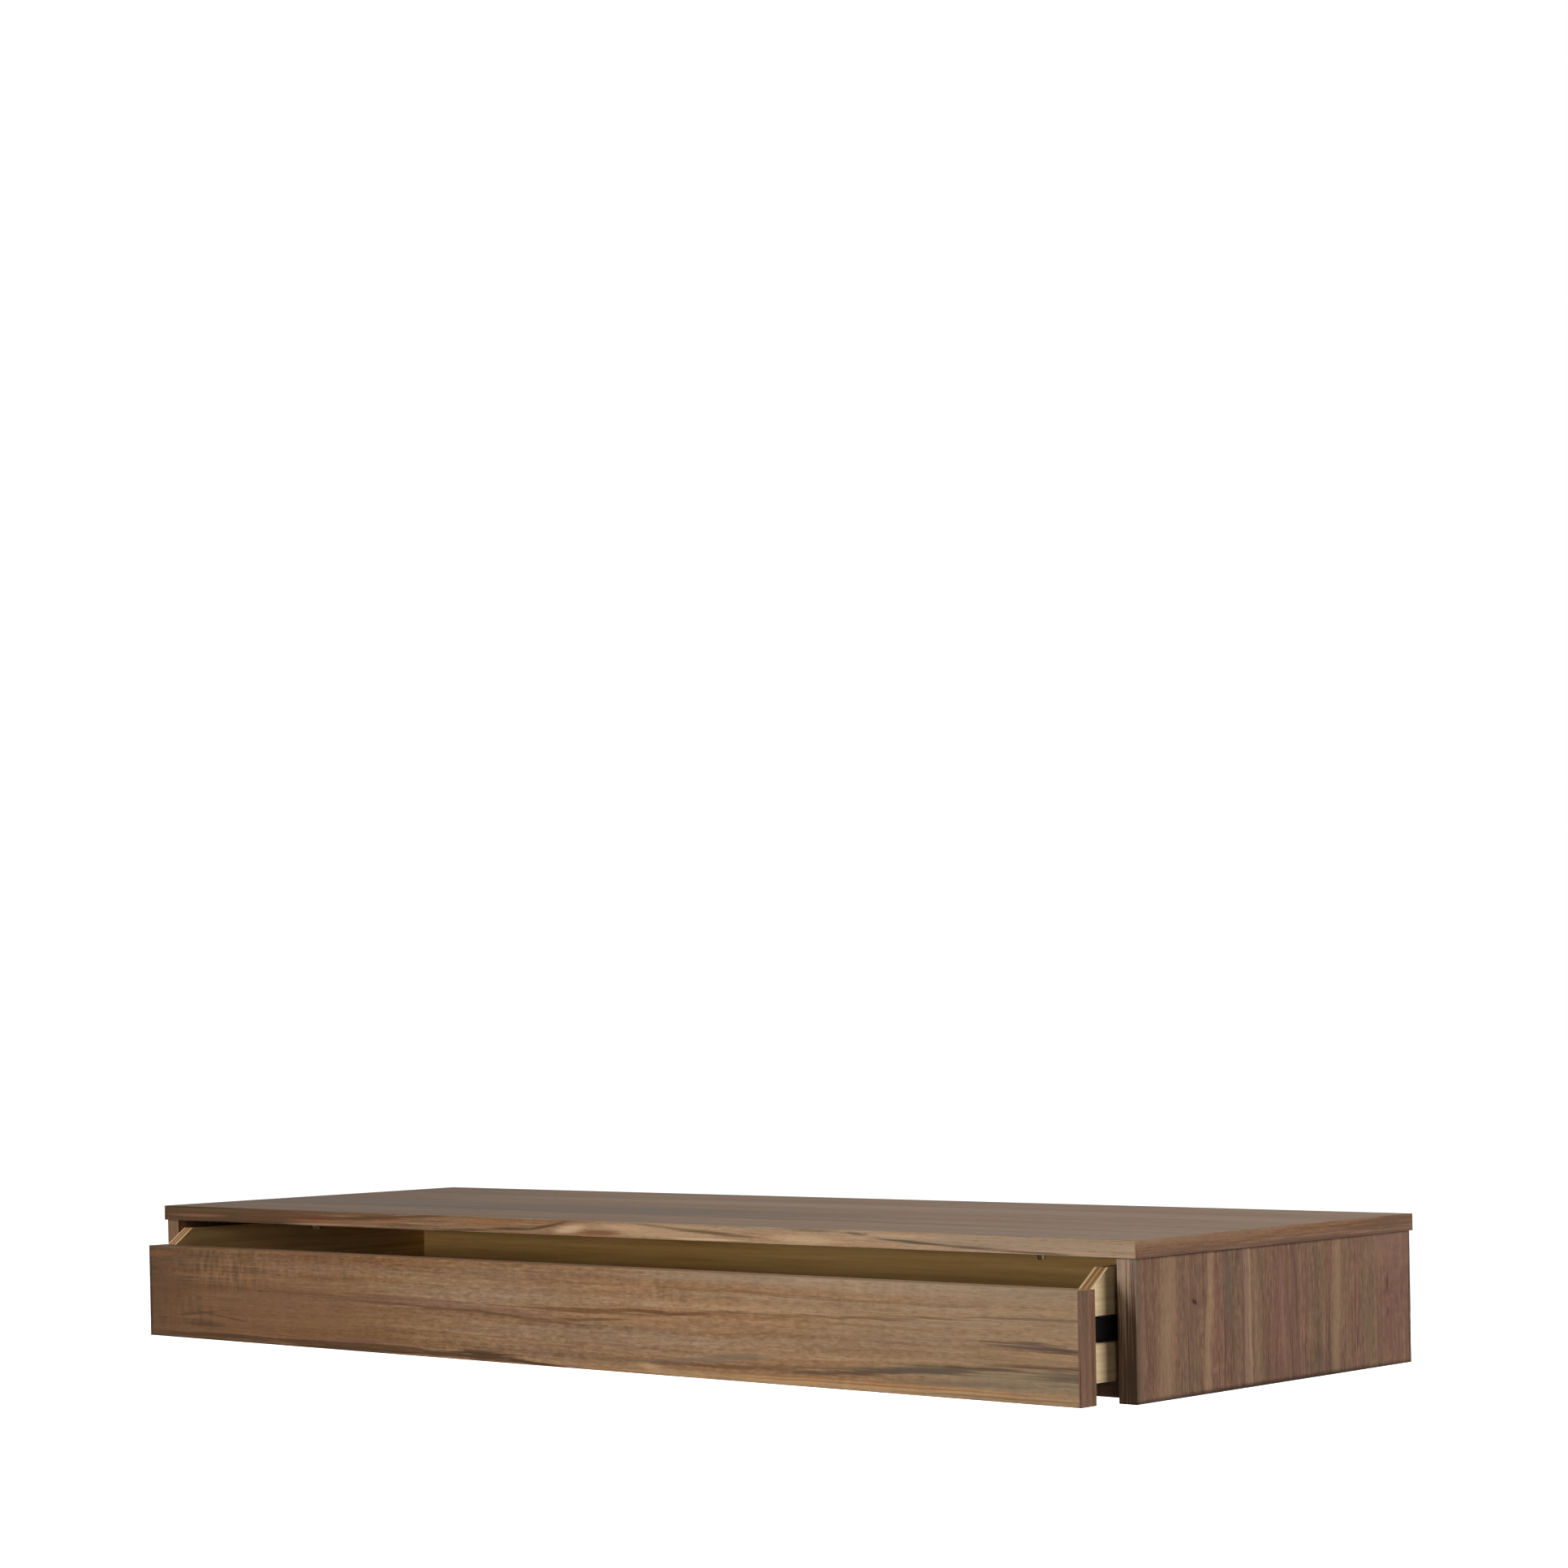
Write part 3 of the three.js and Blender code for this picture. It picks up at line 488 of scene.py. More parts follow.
# Zinc plate: a pale grey metal with a soft, slightly cloudy sheen
ZINC_STEEL = plain("zinc_plated_steel", "#b9bbbe", 0.34, 0.14, 1.0, 0.1, Metallic=1.0)
# Pressed sheet: a darker grey metal, smoother and brighter than the plate
PRESSED_STEEL = plain("bright_pressed_steel", "#8e9196", 0.3, 0.1, 2.0, 0.05, Metallic=1.0)
# Bearing balls: small hard lights on a mirror grey
BALL_STEEL = plain("polished_bearing_steel", "#d2d4d6", 0.1, 0.03, 3.0, Metallic=1.0)
# Nickel plate: a warm white mirror
NICKEL = plain("polished_nickel_plate", "#dcdad6", 0.14, 0.04, 3.0, Metallic=1.0)
# Rubber: a dull soft black with hardly a shine
RUBBER = plain("moulded_black_rubber", "#1b1b1b", 0.8, 0.1, 0.6, 0.4)


# Boards: each node's own solid with its arrises eased, and a hair-line where two pieces meet
WELD = 1e-6
EASED = 0.6 * MM
JOINT_SHARE = 0.2
EASING_STEPS = 3
SHORTEST_ARRIS = 6 * MM
BESIDE = 0.4 * MM
# A bend below the first isn't an arris, and faces that bend less than the second are one face
LEAST_ARRIS, FLAT = math.radians(40), math.radians(0.5)

# Each board by its body and node: its slot in the record, and its finish
BOARDS = {
    "cabinet": {
        "top_board": ("walnut_top", "walnut_top"),
        "top_front_band": ("walnut_top_edge", "walnut_top_front_edge"),
        "top_left_band": ("walnut_top_edge", "walnut_top_end_edge"),
        "top_right_band": ("walnut_top_edge", "walnut_top_end_edge"),
        "left_side_panel": ("walnut_side", "walnut_side"),
        "right_side_panel": ("walnut_side", "walnut_side"),
        "left_side_band": ("walnut_side_edge", "walnut_left_side_edge"),
        "right_side_band": ("walnut_side_edge", "walnut_side_edge"),
        "bottom_panel": ("walnut_bottom", "walnut_bottom"),
        "bottom_band": ("walnut_bottom_edge", "walnut_bottom"),
        "back_panel": ("back_board", "walnut_back"),
        "hanging_rail": ("rail_wood", "ply_rail"),
        "lower_rail": ("rail_wood", "ply_rail"),
        "wall_cleat": ("rail_wood", "ply_rail"),
    },
    "drawer": {
        "drawer_front": ("walnut_front", "walnut_front"),
        "drawer_front_left_band": ("walnut_front_edge", "walnut_front_edge"),
        "drawer_front_right_band": ("walnut_front_edge", "walnut_front_edge"),
        "drawer_inner_front": ("birch_plywood", "ply_inner_front"),
        "drawer_left_side": ("birch_plywood", "ply_left_side"),
        "drawer_right_side": ("birch_plywood", "ply_side"),
        "drawer_back": ("birch_plywood", "ply_back"),
        "drawer_bottom": ("birch_plywood", "ply_bottom"),
    },
}


def laid_out(name, data):
    """An object in the scene, at the origin, that holds a mesh, a lamp or a camera."""
    holder = bpy.data.objects.new(name, data)
    bpy.context.scene.collection.objects.link(holder)
    return holder


def shown(name, mesh, body, material, replaced=()):
    """Puts a finished mesh in the scene as a piece of a body."""
    mesh.materials.clear()
    mesh.materials.append(material)
    piece = laid_out(name, mesh)
    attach(piece, body)
    if replaced:
        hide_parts(*replaced)


def as_mesh(name, shell):
    """A mesh of a shell, which is freed."""
    mesh = bpy.data.meshes.new(name)
    shell.to_mesh(mesh)
    shell.free()
    return mesh


def smoothed(mesh, angle=30):
    """Shades a mesh smooth but for its sharp edges."""
    mesh.polygons.foreach_set("use_smooth", [True] * len(mesh.polygons))
    mesh.set_sharp_from_angle(angle=math.radians(angle))
    return mesh


def welded(node):
    """A node's solid as one closed shell with whole flat faces."""
    shell = bmesh.new()
    shell.from_mesh(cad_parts[node].data)
    bmesh.ops.remove_doubles(shell, verts=shell.verts, dist=WELD)
    bmesh.ops.dissolve_limit(shell, angle_limit=FLAT, verts=shell.verts, edges=shell.edges)
    shell.normal_update()
    return shell


def inside_any(point, boxes):
    """Whether a point lies inside one of the boxes."""
    return any(all(low[i] < point[i] < high[i] for i in range(3)) for low, high in boxes)


def easing(edge, neighbours):
    """How far an edge is eased: fully where it is free, a little where its face meets a board."""
    if len(edge.link_faces) != 2 or not edge.is_convex or edge.calc_length() < SHORTEST_ARRIS:
        return 0.0
    if edge.calc_face_angle(0.0) < LEAST_ARRIS:
        return 0.0
    middle = (edge.verts[0].co + edge.verts[1].co) / 2
    out = [face.normal * BESIDE for face in edge.link_faces]
    beside = (middle + out[0] - out[1], middle + out[1] - out[0])
    return JOINT_SHARE if any(inside_any(spot, neighbours) for spot in beside) else 1.0


def finished(name, carrier):
    """A plain mesh of an object with its modifiers applied; the object is removed."""
    bpy.context.view_layer.update()
    evaluated = carrier.evaluated_get(bpy.context.evaluated_depsgraph_get())
    mesh = bpy.data.meshes.new_from_object(evaluated)
    mesh.name = name
    bpy.data.objects.remove(carrier)
    return mesh


def eased_board(node, neighbours, width=EASED):
    """A node's solid with its arrises rounded over."""
    shell = welded(node)
    weights = [easing(edge, neighbours) for edge in shell.edges]
    mesh = as_mesh(node + "_eased", shell)
    mesh.attributes.new("bevel_weight_edge", "FLOAT", "EDGE").data.foreach_set("value", weights)
    carrier = laid_out(node + "_eased", smoothed(mesh, 25))
    rounding = carrier.modifiers.new("easing", "BEVEL")
    rounding.limit_method = "WEIGHT"
    rounding.width = width
    rounding.segments = EASING_STEPS
    rounding.harden_normals = True
    rounding.use_clamp_overlap = True
    mesh = finished(node + "_eased", carrier)
    # Where three arrises meet the rounding may bulge, so it is held to the board's own box
    low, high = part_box(node)
    for vert in mesh.vertices:
        vert.co = [min(max(at, least), most) for at, least, most in zip(vert.co, low, high)]
    return mesh


for body, boards in BOARDS.items():
    boxes = {node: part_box(node) for node in boards}
    for node, (slot, finish) in boards.items():
        others = [box for other, box in boxes.items() if other != node]
        shown(node + "_eased", eased_board(node, others), body, FINISHES[finish], [node])


# Slides: each member is one bent strip. Its section is [reach from the drawer's side, height from
# the slide's middle], in mm, for the upper half.
SHEET = 1.2 * MM
CAGE_SHEET = 0.6 * MM
BALL_REACH, BALL_PLANE, BALL_RADIUS = 5.0, 13.925, 2.2
RACEWAY = 3.1
BALLS_PER_ROW = 6
BALL_PLAY = 0.1
DRAWER_SIDE = 666 * MM
# Holes: the radius of a screw's hole and of a slot, where the first slot is behind the front screw
# and how far apart the slots are as a share of the way between the screws
SCREW_HOLE, SLOT, SLOT_STRETCH = 1.9 * MM, 2.6 * MM, 2.2
SLOTS_START, SLOT_SHARE, SLOT_COUNT = 40 * MM, 0.235, 4
PUNCH, CAGE_PUNCH = 30 * MM, 1.4 * MM
BUMPER_ROUNDING = 1.5 * MM


def raceway(start, end, steps=9):
    """Points of the groove that the balls run in, from one angle to another."""
    turns = [math.radians(start + (end - start) * i / steps) for i in range(steps + 1)]
    return [(BALL_REACH + RACEWAY * math.cos(turn), BALL_PLANE + RACEWAY * math.sin(turn))
            for turn in turns]


CABINET_MEMBER = [(9.4, 10.2), (8.7, 12.0), *raceway(-10, 155)]
DRAWER_MEMBER = [(0.6, 9.4), (1.2, 10.4), (2.1, 10.9), *raceway(-105, -65)]
BALL_CAGE = [(7.0, 12.6), (6.7, 13.5), (6.1, 13.925), (2.4, 13.925)]


def sheet_outline(line, sheet):
    """The closed outline of a bent strip from its middle line."""
    line = [Vector(point) for point in line]
    sides = ([], [])
    for i, point in enumerate(line):
        coming = point - line[i - 1] if i else line[1] - point
        going = line[i + 1] - point if i + 1 < len(line) else coming
        square = Vector((-coming.y, coming.x)).normalized()
        mitre = (square + Vector((-going.y, going.x)).normalized()).normalized()
        reach = sheet / 2 / max(mitre.dot(square), 0.5)
        sides[0].append(point + mitre * reach)
        sides[1].append(point - mitre * reach)
    return sides[0] + sides[1][::-1]


def bent_strip(name, upper_half, sheet, side, middle, depths):
    """A strip of sheet bent to the section, mirrored below, and run from front to back."""
    half = [(reach * MM, height * MM) for reach, height in upper_half]
    line = half[::-1] + [(reach, -height) for reach, height in half]
    shell = bmesh.new()
    section = [shell.verts.new((side * (DRAWER_SIDE + point.x), depths[0], middle + point.y))
               for point in sheet_outline(line, sheet)]
    face = shell.faces.new(section)
    run = bmesh.ops.extrude_face_region(shell, geom=[face], use_keep_orig=True)
    moved = [item for item in run["geom"] if isinstance(item, bmesh.types.BMVert)]
    bmesh.ops.translate(shell, verts=moved, vec=(0.0, depths[1] - depths[0], 0.0))
    bmesh.ops.recalc_face_normals(shell, faces=shell.faces)
    return as_mesh(name, shell)


def geometry_tree(name, inputs):
    """An empty Geometry Nodes tree with its named inputs, geometry first and finish last."""
    tree = bpy.data.node_groups.new(name, "GeometryNodeTree")
    for label, kind in {"Geometry": "Geometry", **inputs, "Finish": "Material"}.items():
        tree.interface.new_socket(label, in_out="INPUT", socket_type="NodeSocket" + kind)
    tree.interface.new_socket("Geometry", in_out="OUTPUT", socket_type="NodeSocketGeometry")
    given = add(tree, "NodeGroupInput", out=None).outputs
    return tree, given, add(tree, "NodeGroupOutput", out=None)


def close_tree(tree, geometry, finish, output):
    """Ends a tree with its instances made real and its material set."""
    real = add(tree, "GeometryNodeRealizeInstances", {"Geometry": geometry})
    made = add(tree, "GeometryNodeSetMaterial", {"Geometry": real, "Material": finish})
    tree.links.new(made, output.inputs["Geometry"])
    return tree


def run_through(carrier, tree, values):
    """Adds a tree to an object, its inputs set by their identifiers."""
    modifier = carrier.modifiers.new(tree.name, "NODES")
    modifier.node_group = tree
    for item in tree.interface.items_tree:
        if item.in_out == "INPUT" and item.name in values:
            modifier[item.identifier] = values[item.name]


def punching():
    """A row of round or oblong holes punched through a strip."""
    tree, given, output = geometry_tree("punched_holes", {
        "Start": "Vector", "Step": "Vector", "Count": "Int", "Radius": "Float", "Depth": "Float",
        "Turn": "Vector", "Stretch": "Vector"})
    row = add(tree, "GeometryNodeMeshLine", {
        "Count": given["Count"], "Start Location": given["Start"], "Offset": given["Step"]})
    punch = add(tree, "GeometryNodeMeshCylinder", {
        "Vertices": 20, "Radius": given["Radius"], "Depth": given["Depth"]})
    punch = add(tree, "GeometryNodeTransform", {"Geometry": punch, "Scale": given["Stretch"]})
    turn = add(tree, "FunctionNodeEulerToRotation", [given["Turn"]])
    punches = add(tree, "GeometryNodeInstanceOnPoints", {
        "Points": row, "Instance": punch, "Rotation": turn})
    punches = add(tree, "GeometryNodeRealizeInstances", {"Geometry": punches})
    cut = add(tree, "GeometryNodeMeshBoolean", {"Mesh 1": given["Geometry"], "Mesh 2": punches},
              operation="DIFFERENCE")
    return close_tree(tree, cut, given["Finish"], output)


def ball_rows():
    """Two rows of balls, one above the other."""
    tree, given, output = geometry_tree("ball_rows", {
        "Start": "Vector", "Step": "Vector", "Count": "Int", "Radius": "Float", "Drop": "Vector"})
    rows = add(tree, "GeometryNodeJoinGeometry", out=None)
    for drop in (0, 1):
        start = add(tree, VECTOR, [given["Drop"], (drop,) * 3, given["Start"]],
                    operation="MULTIPLY_ADD")
        row = add(tree, "GeometryNodeMeshLine", {
            "Count": given["Count"], "Start Location": start, "Offset": given["Step"]})
        tree.links.new(row, rows.inputs[0])
    ball = add(tree, "GeometryNodeMeshIcoSphere", {"Radius": given["Radius"], "Subdivisions": 3})
    ball = add(tree, "GeometryNodeSetShadeSmooth", {"Geometry": ball})
    balls = add(tree, "GeometryNodeInstanceOnPoints", {"Points": rows.outputs[0], "Instance": ball})
    return close_tree(tree, balls, given["Finish"], output)


def fittings():
    """A fitting on each point, its head facing as the point does, each turned by another angle."""
    tree, given, output = geometry_tree("fittings_on_points", {
        "Fitting": "Object", "Seed": "Int"})
    facing = add(tree, "GeometryNodeInputNamedAttribute", {"Name": "facing"},
                 data_type="FLOAT_VECTOR")
    turn = add(tree, "FunctionNodeAlignRotationToVector", {"Vector": facing}, axis="Z")
    angle = add(tree, "FunctionNodeRandomValue", {2: 0.0, 3: math.tau, 8: given["Seed"]}, out=1)
    spin = add(tree, "FunctionNodeAxisAngleToRotation", {"Axis": (0.0, 0.0, 1.0), "Angle": angle})
    turn = add(tree, "FunctionNodeRotateRotation", [turn, spin], rotation_space="LOCAL")
    shape = add(tree, "GeometryNodeObjectInfo", {"Object": given["Fitting"]}, out="Geometry")
    placed = add(tree, "GeometryNodeInstanceOnPoints", {
        "Points": given["Geometry"], "Instance": shape, "Rotation": turn})
    return close_tree(tree, placed, given["Finish"], output)


PUNCHED_HOLES, BALL_ROWS, FITTINGS = punching(), ball_rows(), fittings()


def make_slide(hand, side):
    """The two members of one slide, and its ball cage with the balls."""
    for body, node, section in (("cabinet", f"{hand}_slide_cabinet_member", CABINET_MEMBER),
                                ("drawer", f"{hand}_slide_drawer_member", DRAWER_MEMBER)):
        low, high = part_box(node)
        middle = (low[2] + high[2]) / 2
        name = node + "_rolled"
        carrier = laid_out(name, bent_strip(name, section, SHEET, side, middle, (low[1], high[1])))
        screws = [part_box(f"{hand}_{body}_slide_screw_{place}") for place in ("front", "back")]
        first, last = ((box[0][1] + box[1][1]) / 2 for box in screws)
        for radius, start, step, count, stretch in (
                (SCREW_HOLE, first, last - first, 2, 1.0),
                (SLOT, first + SLOTS_START, (last - first) * SLOT_SHARE, SLOT_COUNT, SLOT_STRETCH)):
            run_through(carrier, PUNCHED_HOLES, {
                "Start": (side * DRAWER_SIDE, start, middle), "Step": (0.0, step, 0.0),
                "Count": count, "Radius": radius, "Depth": PUNCH,
                "Turn": (0.0, math.pi / 2, 0.0), "Stretch": (1.0, stretch, 1.0),
                "Finish": COATED_STEEL})
        shown(name, smoothed(finished(name, carrier)), body, COATED_STEEL, [node])

    node, body = f"{hand}_ball_retainer", f"{hand}_retainer"
    low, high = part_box(node)
    middle = (low[2] + high[2]) / 2
    pitch = (high[1] - low[1]) / BALLS_PER_ROW
    start = (side * (DRAWER_SIDE + BALL_REACH * MM), low[1] + pitch / 2, middle + BALL_PLANE * MM)
    name = f"{hand}_ball_cage"
    cage = laid_out(name, bent_strip(name, BALL_CAGE, CAGE_SHEET, side, middle, (low[1], high[1])))
    for level in (start[2], 2 * middle - start[2]):
        run_through(cage, PUNCHED_HOLES, {
            "Start": (start[0], start[1], level), "Step": (0.0, pitch, 0.0),
            "Count": BALLS_PER_ROW, "Radius": (BALL_RADIUS + BALL_PLAY) * MM, "Depth": CAGE_PUNCH,
            "Stretch": (1.0, 1.0, 1.0), "Finish": PRESSED_STEEL})
    shown(name, smoothed(finished(name, cage)), body, PRESSED_STEEL, [node])
    name = f"{hand}_slide_balls"
    rows = laid_out(name, bpy.data.meshes.new(name))
    run_through(rows, BALL_ROWS, {
        "Start": start, "Step": (0.0, pitch, 0.0), "Count": BALLS_PER_ROW,
        "Radius": BALL_RADIUS * MM, "Drop": (0.0, 0.0, -2 * BALL_PLANE * MM), "Finish": BALL_STEEL})
    shown(name, finished(name, rows), body, BALL_STEEL)
    node = f"{hand}_slide_bumper"
    shown(node + "_moulded", eased_board(node, [], BUMPER_ROUNDING), "cabinet",
          RUBBER, [node])


for hand, side in (("left", -1), ("right", 1)):
    make_slide(hand, side)


# Turned fittings: a profile is (radius, height, depth of relief) in mm from the tip up. The seat of
# the head is at height 0 and the head above it.
def turned(name, profile, sides, relief=None):
    """A closed turned mesh; relief gives, from 0 to 1, how much of its depth a point is cut."""
    shell = bmesh.new()
    rings = []
    for radius, height, depth in profile:
        ring = []
        for i in range(sides):
            angle = math.tau * i / sides
            reach = radius - depth * relief(height, angle) if depth else radius
            ring.append(shell.verts.new((reach * MM * math.cos(angle), reach * MM * math.sin(angle),
                                         height * MM)))
        rings.append(ring)
    for lower, upper in zip(rings, rings[1:]):
        for i in range(sides):
            j = (i + 1) % sides
            shell.faces.new((lower[i], lower[j], upper[j], upper[i]))
    shell.faces.new(rings[0][::-1])
    shell.faces.new(rings[-1])
    return as_mesh(name, shell)


# A thread has this many rings to a turn; a chamfer goes this far in and this far along
THREAD_PITCH, THREAD_DEPTH, THREAD_STEPS = 1.6, 0.45, 5
FLUTES, FLUTE_DEPTH, CHAMFER = 12, 0.25, (1.0, 1.2)


def thread(height, angle):
    """A sharp ridge that climbs the shank."""
    phase = (height / THREAD_PITCH - angle / math.tau) % 1.0
    return min(1.0, 2.6 * min(phase, 1.0 - phase))


def flutes(height, angle):
    """Narrow grooves along a dowel for the glue."""
    return 0.5 - 0.5 * math.cos(FLUTES * angle)


def cross_cutter(width, across, depth, top):
    """Two crossed wedges that cut the recess of a screw's head."""
    shell = bmesh.new()
    for turn in (0.0, math.pi / 2):
        made = bmesh.ops.create_cube(shell, size=1.0)["verts"]
        for vert in made:
            share, height = (0.45, top - depth) if vert.co.z < 0 else (1.0, top + 1.0)
            vert.co = (vert.co.x * across * share, vert.co.y * width, height)
        bmesh.ops.rotate(shell, verts=made, cent=(0, 0, 0), matrix=Matrix.Rotation(turn, 3, "Z"))
    bmesh.ops.scale(shell, verts=shell.verts, vec=(MM, MM, MM))
    return as_mesh("cross_cutter", shell)


def screw(name, radius, length, head_radius, head_height):
    """A pan-head screw with a cut thread and a cross recess."""
    point = 2.4 * radius
    steps = int((length - point) / THREAD_PITCH * THREAD_STEPS)
    climb = [(radius, -length + point + i * (length - point) / (steps + 3), THREAD_DEPTH)
             for i in range(steps)]
    dome = [(head_radius * math.cos(turn), head_height * (0.4 + 0.6 * math.sin(turn)), 0.0)
            for turn in map(math.radians, (0, 20, 40, 60, 78))]
    carrier = laid_out(name, turned(name, [
        (0.15 * radius, -length, 0.0), (0.6 * radius, 1.4 * radius - length, 0.2), *climb,
        (radius, 0.0, 0.0), (head_radius, 0.0, 0.0), *dome], 20, thread))
    cutter = laid_out("cross_cutter", cross_cutter(
        0.24 * head_radius, 1.15 * head_radius, 0.5 * head_height + 0.35, head_height))
    recess = carrier.modifiers.new("recess", "BOOLEAN")
    recess.operation = "DIFFERENCE"
    recess.object = cutter
    recess.solver = "EXACT"
    recess.use_self = True
    made = finished(name, carrier)
    bpy.data.objects.remove(cutter)
    return smoothed(made, 35)


def dowel(name, radius, length):
    """A beech dowel with fluted sides and chamfered ends."""
    half, (step, rise) = length / 2, CHAMFER
    return smoothed(turned(name, [
        (radius - step, -half, 0.0), (radius, rise - half, FLUTE_DEPTH),
        (radius, half - rise, FLUTE_DEPTH), (radius - step, half, 0.0)], 48, flutes), 35)


def stud():
    """A polished stud with a rounded end, a neck and a flange against the wood."""
    bend = map(math.radians, (80, 66, 52, 38, 25, 12, 0))
    end = [(2.9 + 1.1 * math.sin(turn), 11.5 - 1.1 + 1.1 * math.cos(turn)) for turn in bend]
    outline = [(2.0, -9.5), (2.0, 0.0), (4.0, 0.0), (4.0, 0.9), (3.6, 1.2), (3.6, 2.0), (4.0, 2.3)]
    return smoothed(turned("stop_stud", [(*point, 0.0) for point in outline + end], 48), 30)


FITTING_SEED = 7


def place_fittings(name, mesh, places, body, material):
    """Sets a fitting at every node of places, {node: facing}, its seat where the node's is."""
    height = max(vert.co.z for vert in mesh.vertices)
    points, facings = [], []
    for node, facing in places.items():
        low, high = (Vector(corner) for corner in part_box(node))
        reach = (high - low) / 2
        points.append((low + high) / 2 + facing * (abs(reach.dot(facing)) - height))
        facings.extend(facing)
    cloud = bpy.data.meshes.new(name)
    cloud.from_pydata(points, [], [])
    cloud.attributes.new("facing", "FLOAT_VECTOR", "POINT").data.foreach_set("vector", facings)
    carrier, fitting = laid_out(name, cloud), laid_out(name + "_pattern", mesh)
    run_through(carrier, FITTINGS, {"Fitting": fitting, "Seed": FITTING_SEED, "Finish": material})
    made = finished(name, carrier)
    bpy.data.objects.remove(fitting)
    shown(name, made, body, material, list(places))


LEFT, RIGHT = Vector((-1, 0, 0)), Vector((1, 0, 0))
UP, DOWN, OUT, IN = Vector((0, 0, 1)), Vector((0, 0, -1)), Vector((0, -1, 0)), Vector((0, 1, 0))
DOWEL_LENGTH = 28.0


def four(nodes, left_facing, right_facing):
    """The front and back nodes of the left and the right, each with the way it faces."""
    return {nodes.format(hand, place): facing
            for hand, facing in (("left", left_facing), ("right", right_facing))
            for place in ("front", "back")}


SLIDE_SCREW = screw("slide_screw", 1.7, 11.8, 3.4, 0.7)
# The slide screws are black like the slides, not zinc plated: painted shade for the dark gap they
# sit in
place_fittings("cabinet_slide_screws", SLIDE_SCREW, four("{}_cabinet_slide_screw_{}", RIGHT, LEFT),
               "cabinet", COATED_STEEL)
place_fittings("drawer_slide_screws", SLIDE_SCREW, four("{}_drawer_slide_screw_{}", -RIGHT, -LEFT),
               "drawer", COATED_STEEL)
place_fittings("rail_screws", screw("rail_screw", 2.0, 16.0, 4.0, 2.2),
               {f"rail_screw_{i}": OUT for i in (1, 2, 3)}, "cabinet", ZINC_STEEL)
place_fittings("front_screws", screw("front_screw", 2.0, 27.0, 4.0, 2.2),
               {f"front_screw_{i}": IN for i in (1, 2, 3, 4)}, "drawer", ZINC_STEEL)
place_fittings("stop_studs", stud(), {f"{hand}_stop_stud": DOWN for hand in ("left", "right")},
               "cabinet", NICKEL)
for name, radius, nodes, facing, body in (
        ("cabinet_dowels_top", 4.0, "top_dowel_{}_{}", UP, "cabinet"),
        ("cabinet_dowels_bottom", 4.0, "bottom_dowel_{}_{}", RIGHT, "cabinet"),
        ("drawer_dowels", 3.0, "drawer_dowel_{}_{}", RIGHT, "drawer")):
    place_fittings(name, dowel(name + "_turned", radius, DOWEL_LENGTH),
                   four(nodes, facing, facing), body, TURNED_BEECH)


# The studio: white all round to the eye, a tall soft key from the upper left, weak low lights from
# the front, the right and the left, and a broad pale wall of light to the right and behind. The
# floor's own glow is weaker near the object, so that its shadow shows there.
FLOOR_LEVEL = -0.55
FLOOR_REACH = 40.0
NEAR, FAR, NEAR_GLOW = 0.8, 3.2, 0.45
FILL = 0.02
MIDDLE = Vector((0.0, -0.3, 0.0))


def seen_ray(tree):
    """1 for what the camera sees, straight, in a gloss or through glass, and 0 for other light."""
    ray = add(tree, "ShaderNodeLightPath", out=None).outputs
    seen = ray["Is Camera Ray"]
    for other in ("Is Glossy Ray", "Is Transmission Ray"):
        seen = add(tree, MATH, [seen, ray[other]], operation="MAXIMUM")
    return seen


def white_surround():
    """A world that is white to the eye and gives the object only a little even light."""
    world = bpy.data.worlds.new("white_surround")
    bpy.context.scene.world = world
    world.use_nodes = True
    tree = world.node_tree
    tree.nodes.clear()
    level = add(tree, MATH, [seen_ray(tree), 1.0 - FILL, FILL], operation="MULTIPLY_ADD")
    white = add(tree, "ShaderNodeBackground", {"Color": (1.0, 1.0, 1.0, 1.0), "Strength": level})
    add(tree, "ShaderNodeOutputWorld", {"Surface": white}, out=None)


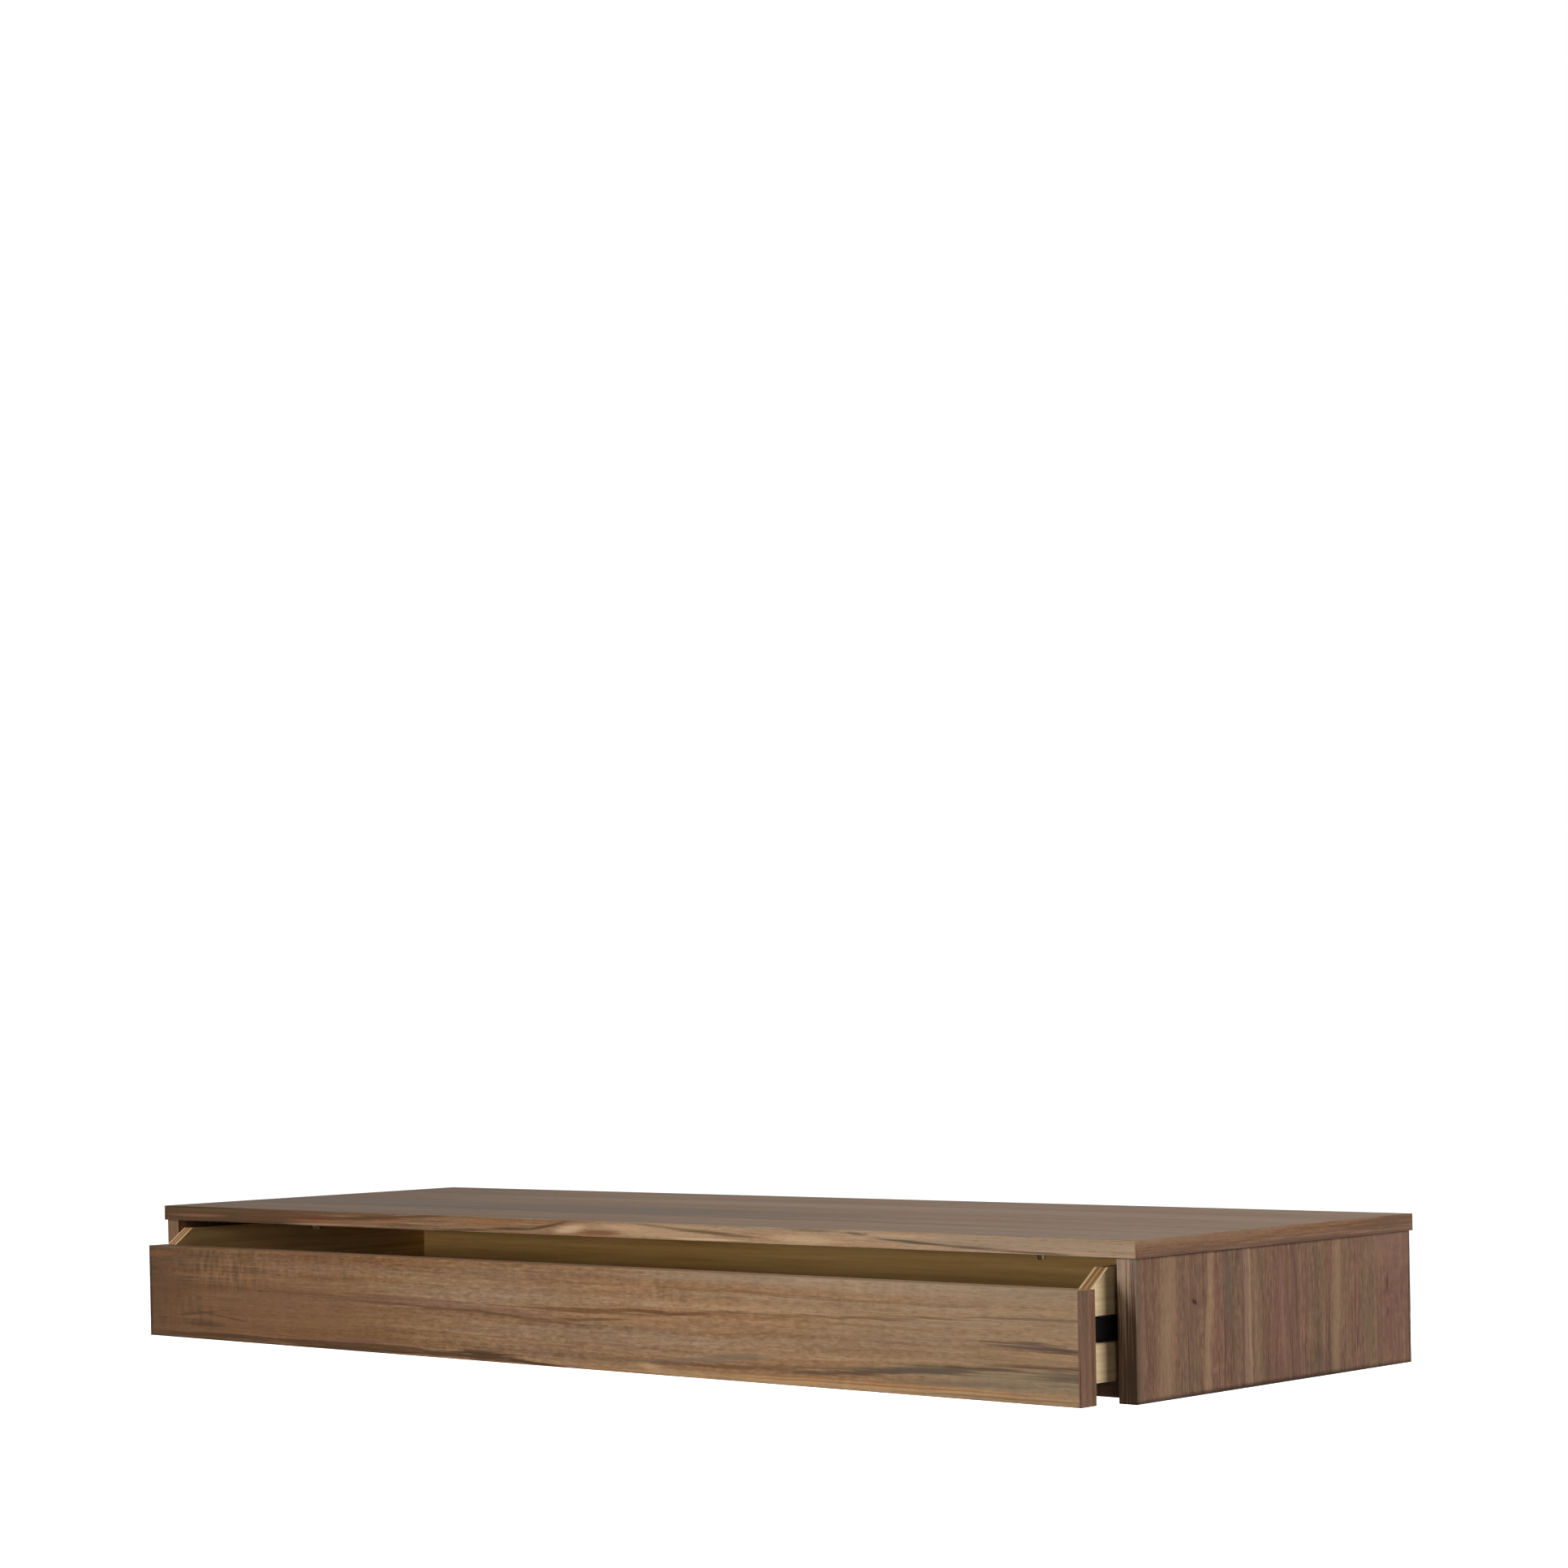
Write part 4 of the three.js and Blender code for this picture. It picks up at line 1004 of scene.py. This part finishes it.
def pale_floor():
    """A white floor that takes shadows near the object and runs out into the white surround."""
    mesh = bpy.data.meshes.new("pale_floor")
    corners = [(-1, -1), (1, -1), (1, 1), (-1, 1)]
    mesh.from_pydata([(x * FLOOR_REACH, y * FLOOR_REACH, FLOOR_LEVEL) for x, y in corners], [],
                     [(0, 1, 2, 3)])
    floor = laid_out("pale_floor", mesh)
    floor.visible_diffuse = False
    material, tree = new_material("matt_white_studio_floor")
    matt = add(tree, "ShaderNodeBsdfDiffuse", {"Color": linear("#ececea")})
    spot = add(tree, "ShaderNodeTexCoord", out="Object")
    away = add(tree, VECTOR, [spot], out="Value", operation="LENGTH")
    glow = add(tree, RANGE, [away, NEAR, FAR, NEAR_GLOW, 1.0], **SOFT)
    glow = add(tree, MATH, [seen_ray(tree), glow], operation="MULTIPLY")
    lit = add(tree, "ShaderNodeEmission", {"Strength": glow})
    both = add(tree, "ShaderNodeAddShader", [matt, lit])
    clear = add(tree, "ShaderNodeBsdfTransparent")
    under = add(tree, "ShaderNodeNewGeometry", out="Backfacing")
    shell = add(tree, "ShaderNodeMixShader", [under, both, clear])
    add(tree, "ShaderNodeOutputMaterial", {"Surface": shell}, out=None)
    mesh.materials.append(material)
    floor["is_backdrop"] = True


def soft_light(name, direction, distance, width, height, level, tint=(1.0, 1.0, 1.0)):
    """A lamp that gives a face turned to it the asked level of light."""
    lamp = bpy.data.lights.new(name, "AREA")
    lamp.shape = "RECTANGLE"
    lamp.size = width
    lamp.size_y = height
    lamp.energy = level * (math.pi * distance) ** 2
    lamp.color = tint
    holder = laid_out(name, lamp)
    away = Vector(direction).normalized()
    holder.location = MIDDLE + away * distance
    holder.rotation_mode = "QUATERNION"
    holder.rotation_quaternion = away.to_track_quat("Z", "Y")
    holder.visible_camera = False
    holder.visible_glossy = False


white_surround()
pale_floor()
soft_light("key_upper_left", (-1.1, -1.0, 0.85), 14.0, 2.8, 5.0, 0.82)
soft_light("key_low_left", (-1.1, -1.0, 0.3), 14.0, 2.8, 1.7, 0.43)
soft_light("low_front", (0.02, -1.0, 0.085), 8.0, 1.6, 0.7, 0.19, (1.0, 0.94, 0.8))
soft_light("low_right", (1.0, -0.8, 0.24), 8.0, 1.8, 1.5, 0.08, (1.0, 0.95, 0.85))
soft_light("wall_of_light_right", (1.0, 0.3, 0.15), 6.0, 3.0, 3.2, 0.84)
soft_light("wall_of_light_behind", (-0.3, 1.0, 0.12), 6.0, 3.6, 2.4, 0.35)
soft_light("cool_glow_low_left", (-1.7, -1.0, 0.085), 10.0, 1.8, 0.8, 0.17, (0.5, 0.68, 1.0))

# The photograph's viewpoint
camera_data = bpy.data.cameras.new("viewpoint")
camera_data.sensor_width = 36.0
camera_data.lens = 77.439967
camera_data.shift_y = 0.172878
camera_data.clip_start = 0.05
camera_data.clip_end = 100.0
camera = laid_out("viewpoint", camera_data)
VIEW_FROM = (2.482858, -2.818540, 0.277485)
VIEW_TURN, VIEW_RISE, VIEW_ROLL = 0.747452, -0.008281, -0.019140
camera.matrix_world = (
    Matrix.Translation(VIEW_FROM)
    @ Matrix.Rotation(VIEW_TURN, 4, "Z")
    @ Matrix.Rotation(math.pi / 2 + VIEW_RISE, 4, "X")
    @ Matrix.Rotation(VIEW_ROLL, 4, "Z")
)
bpy.context.scene.camera = camera
bpy.context.scene.view_settings.view_transform = "Standard"

boxes = [[list(corner) for corner in box] for box in (CAD_BOX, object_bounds())]
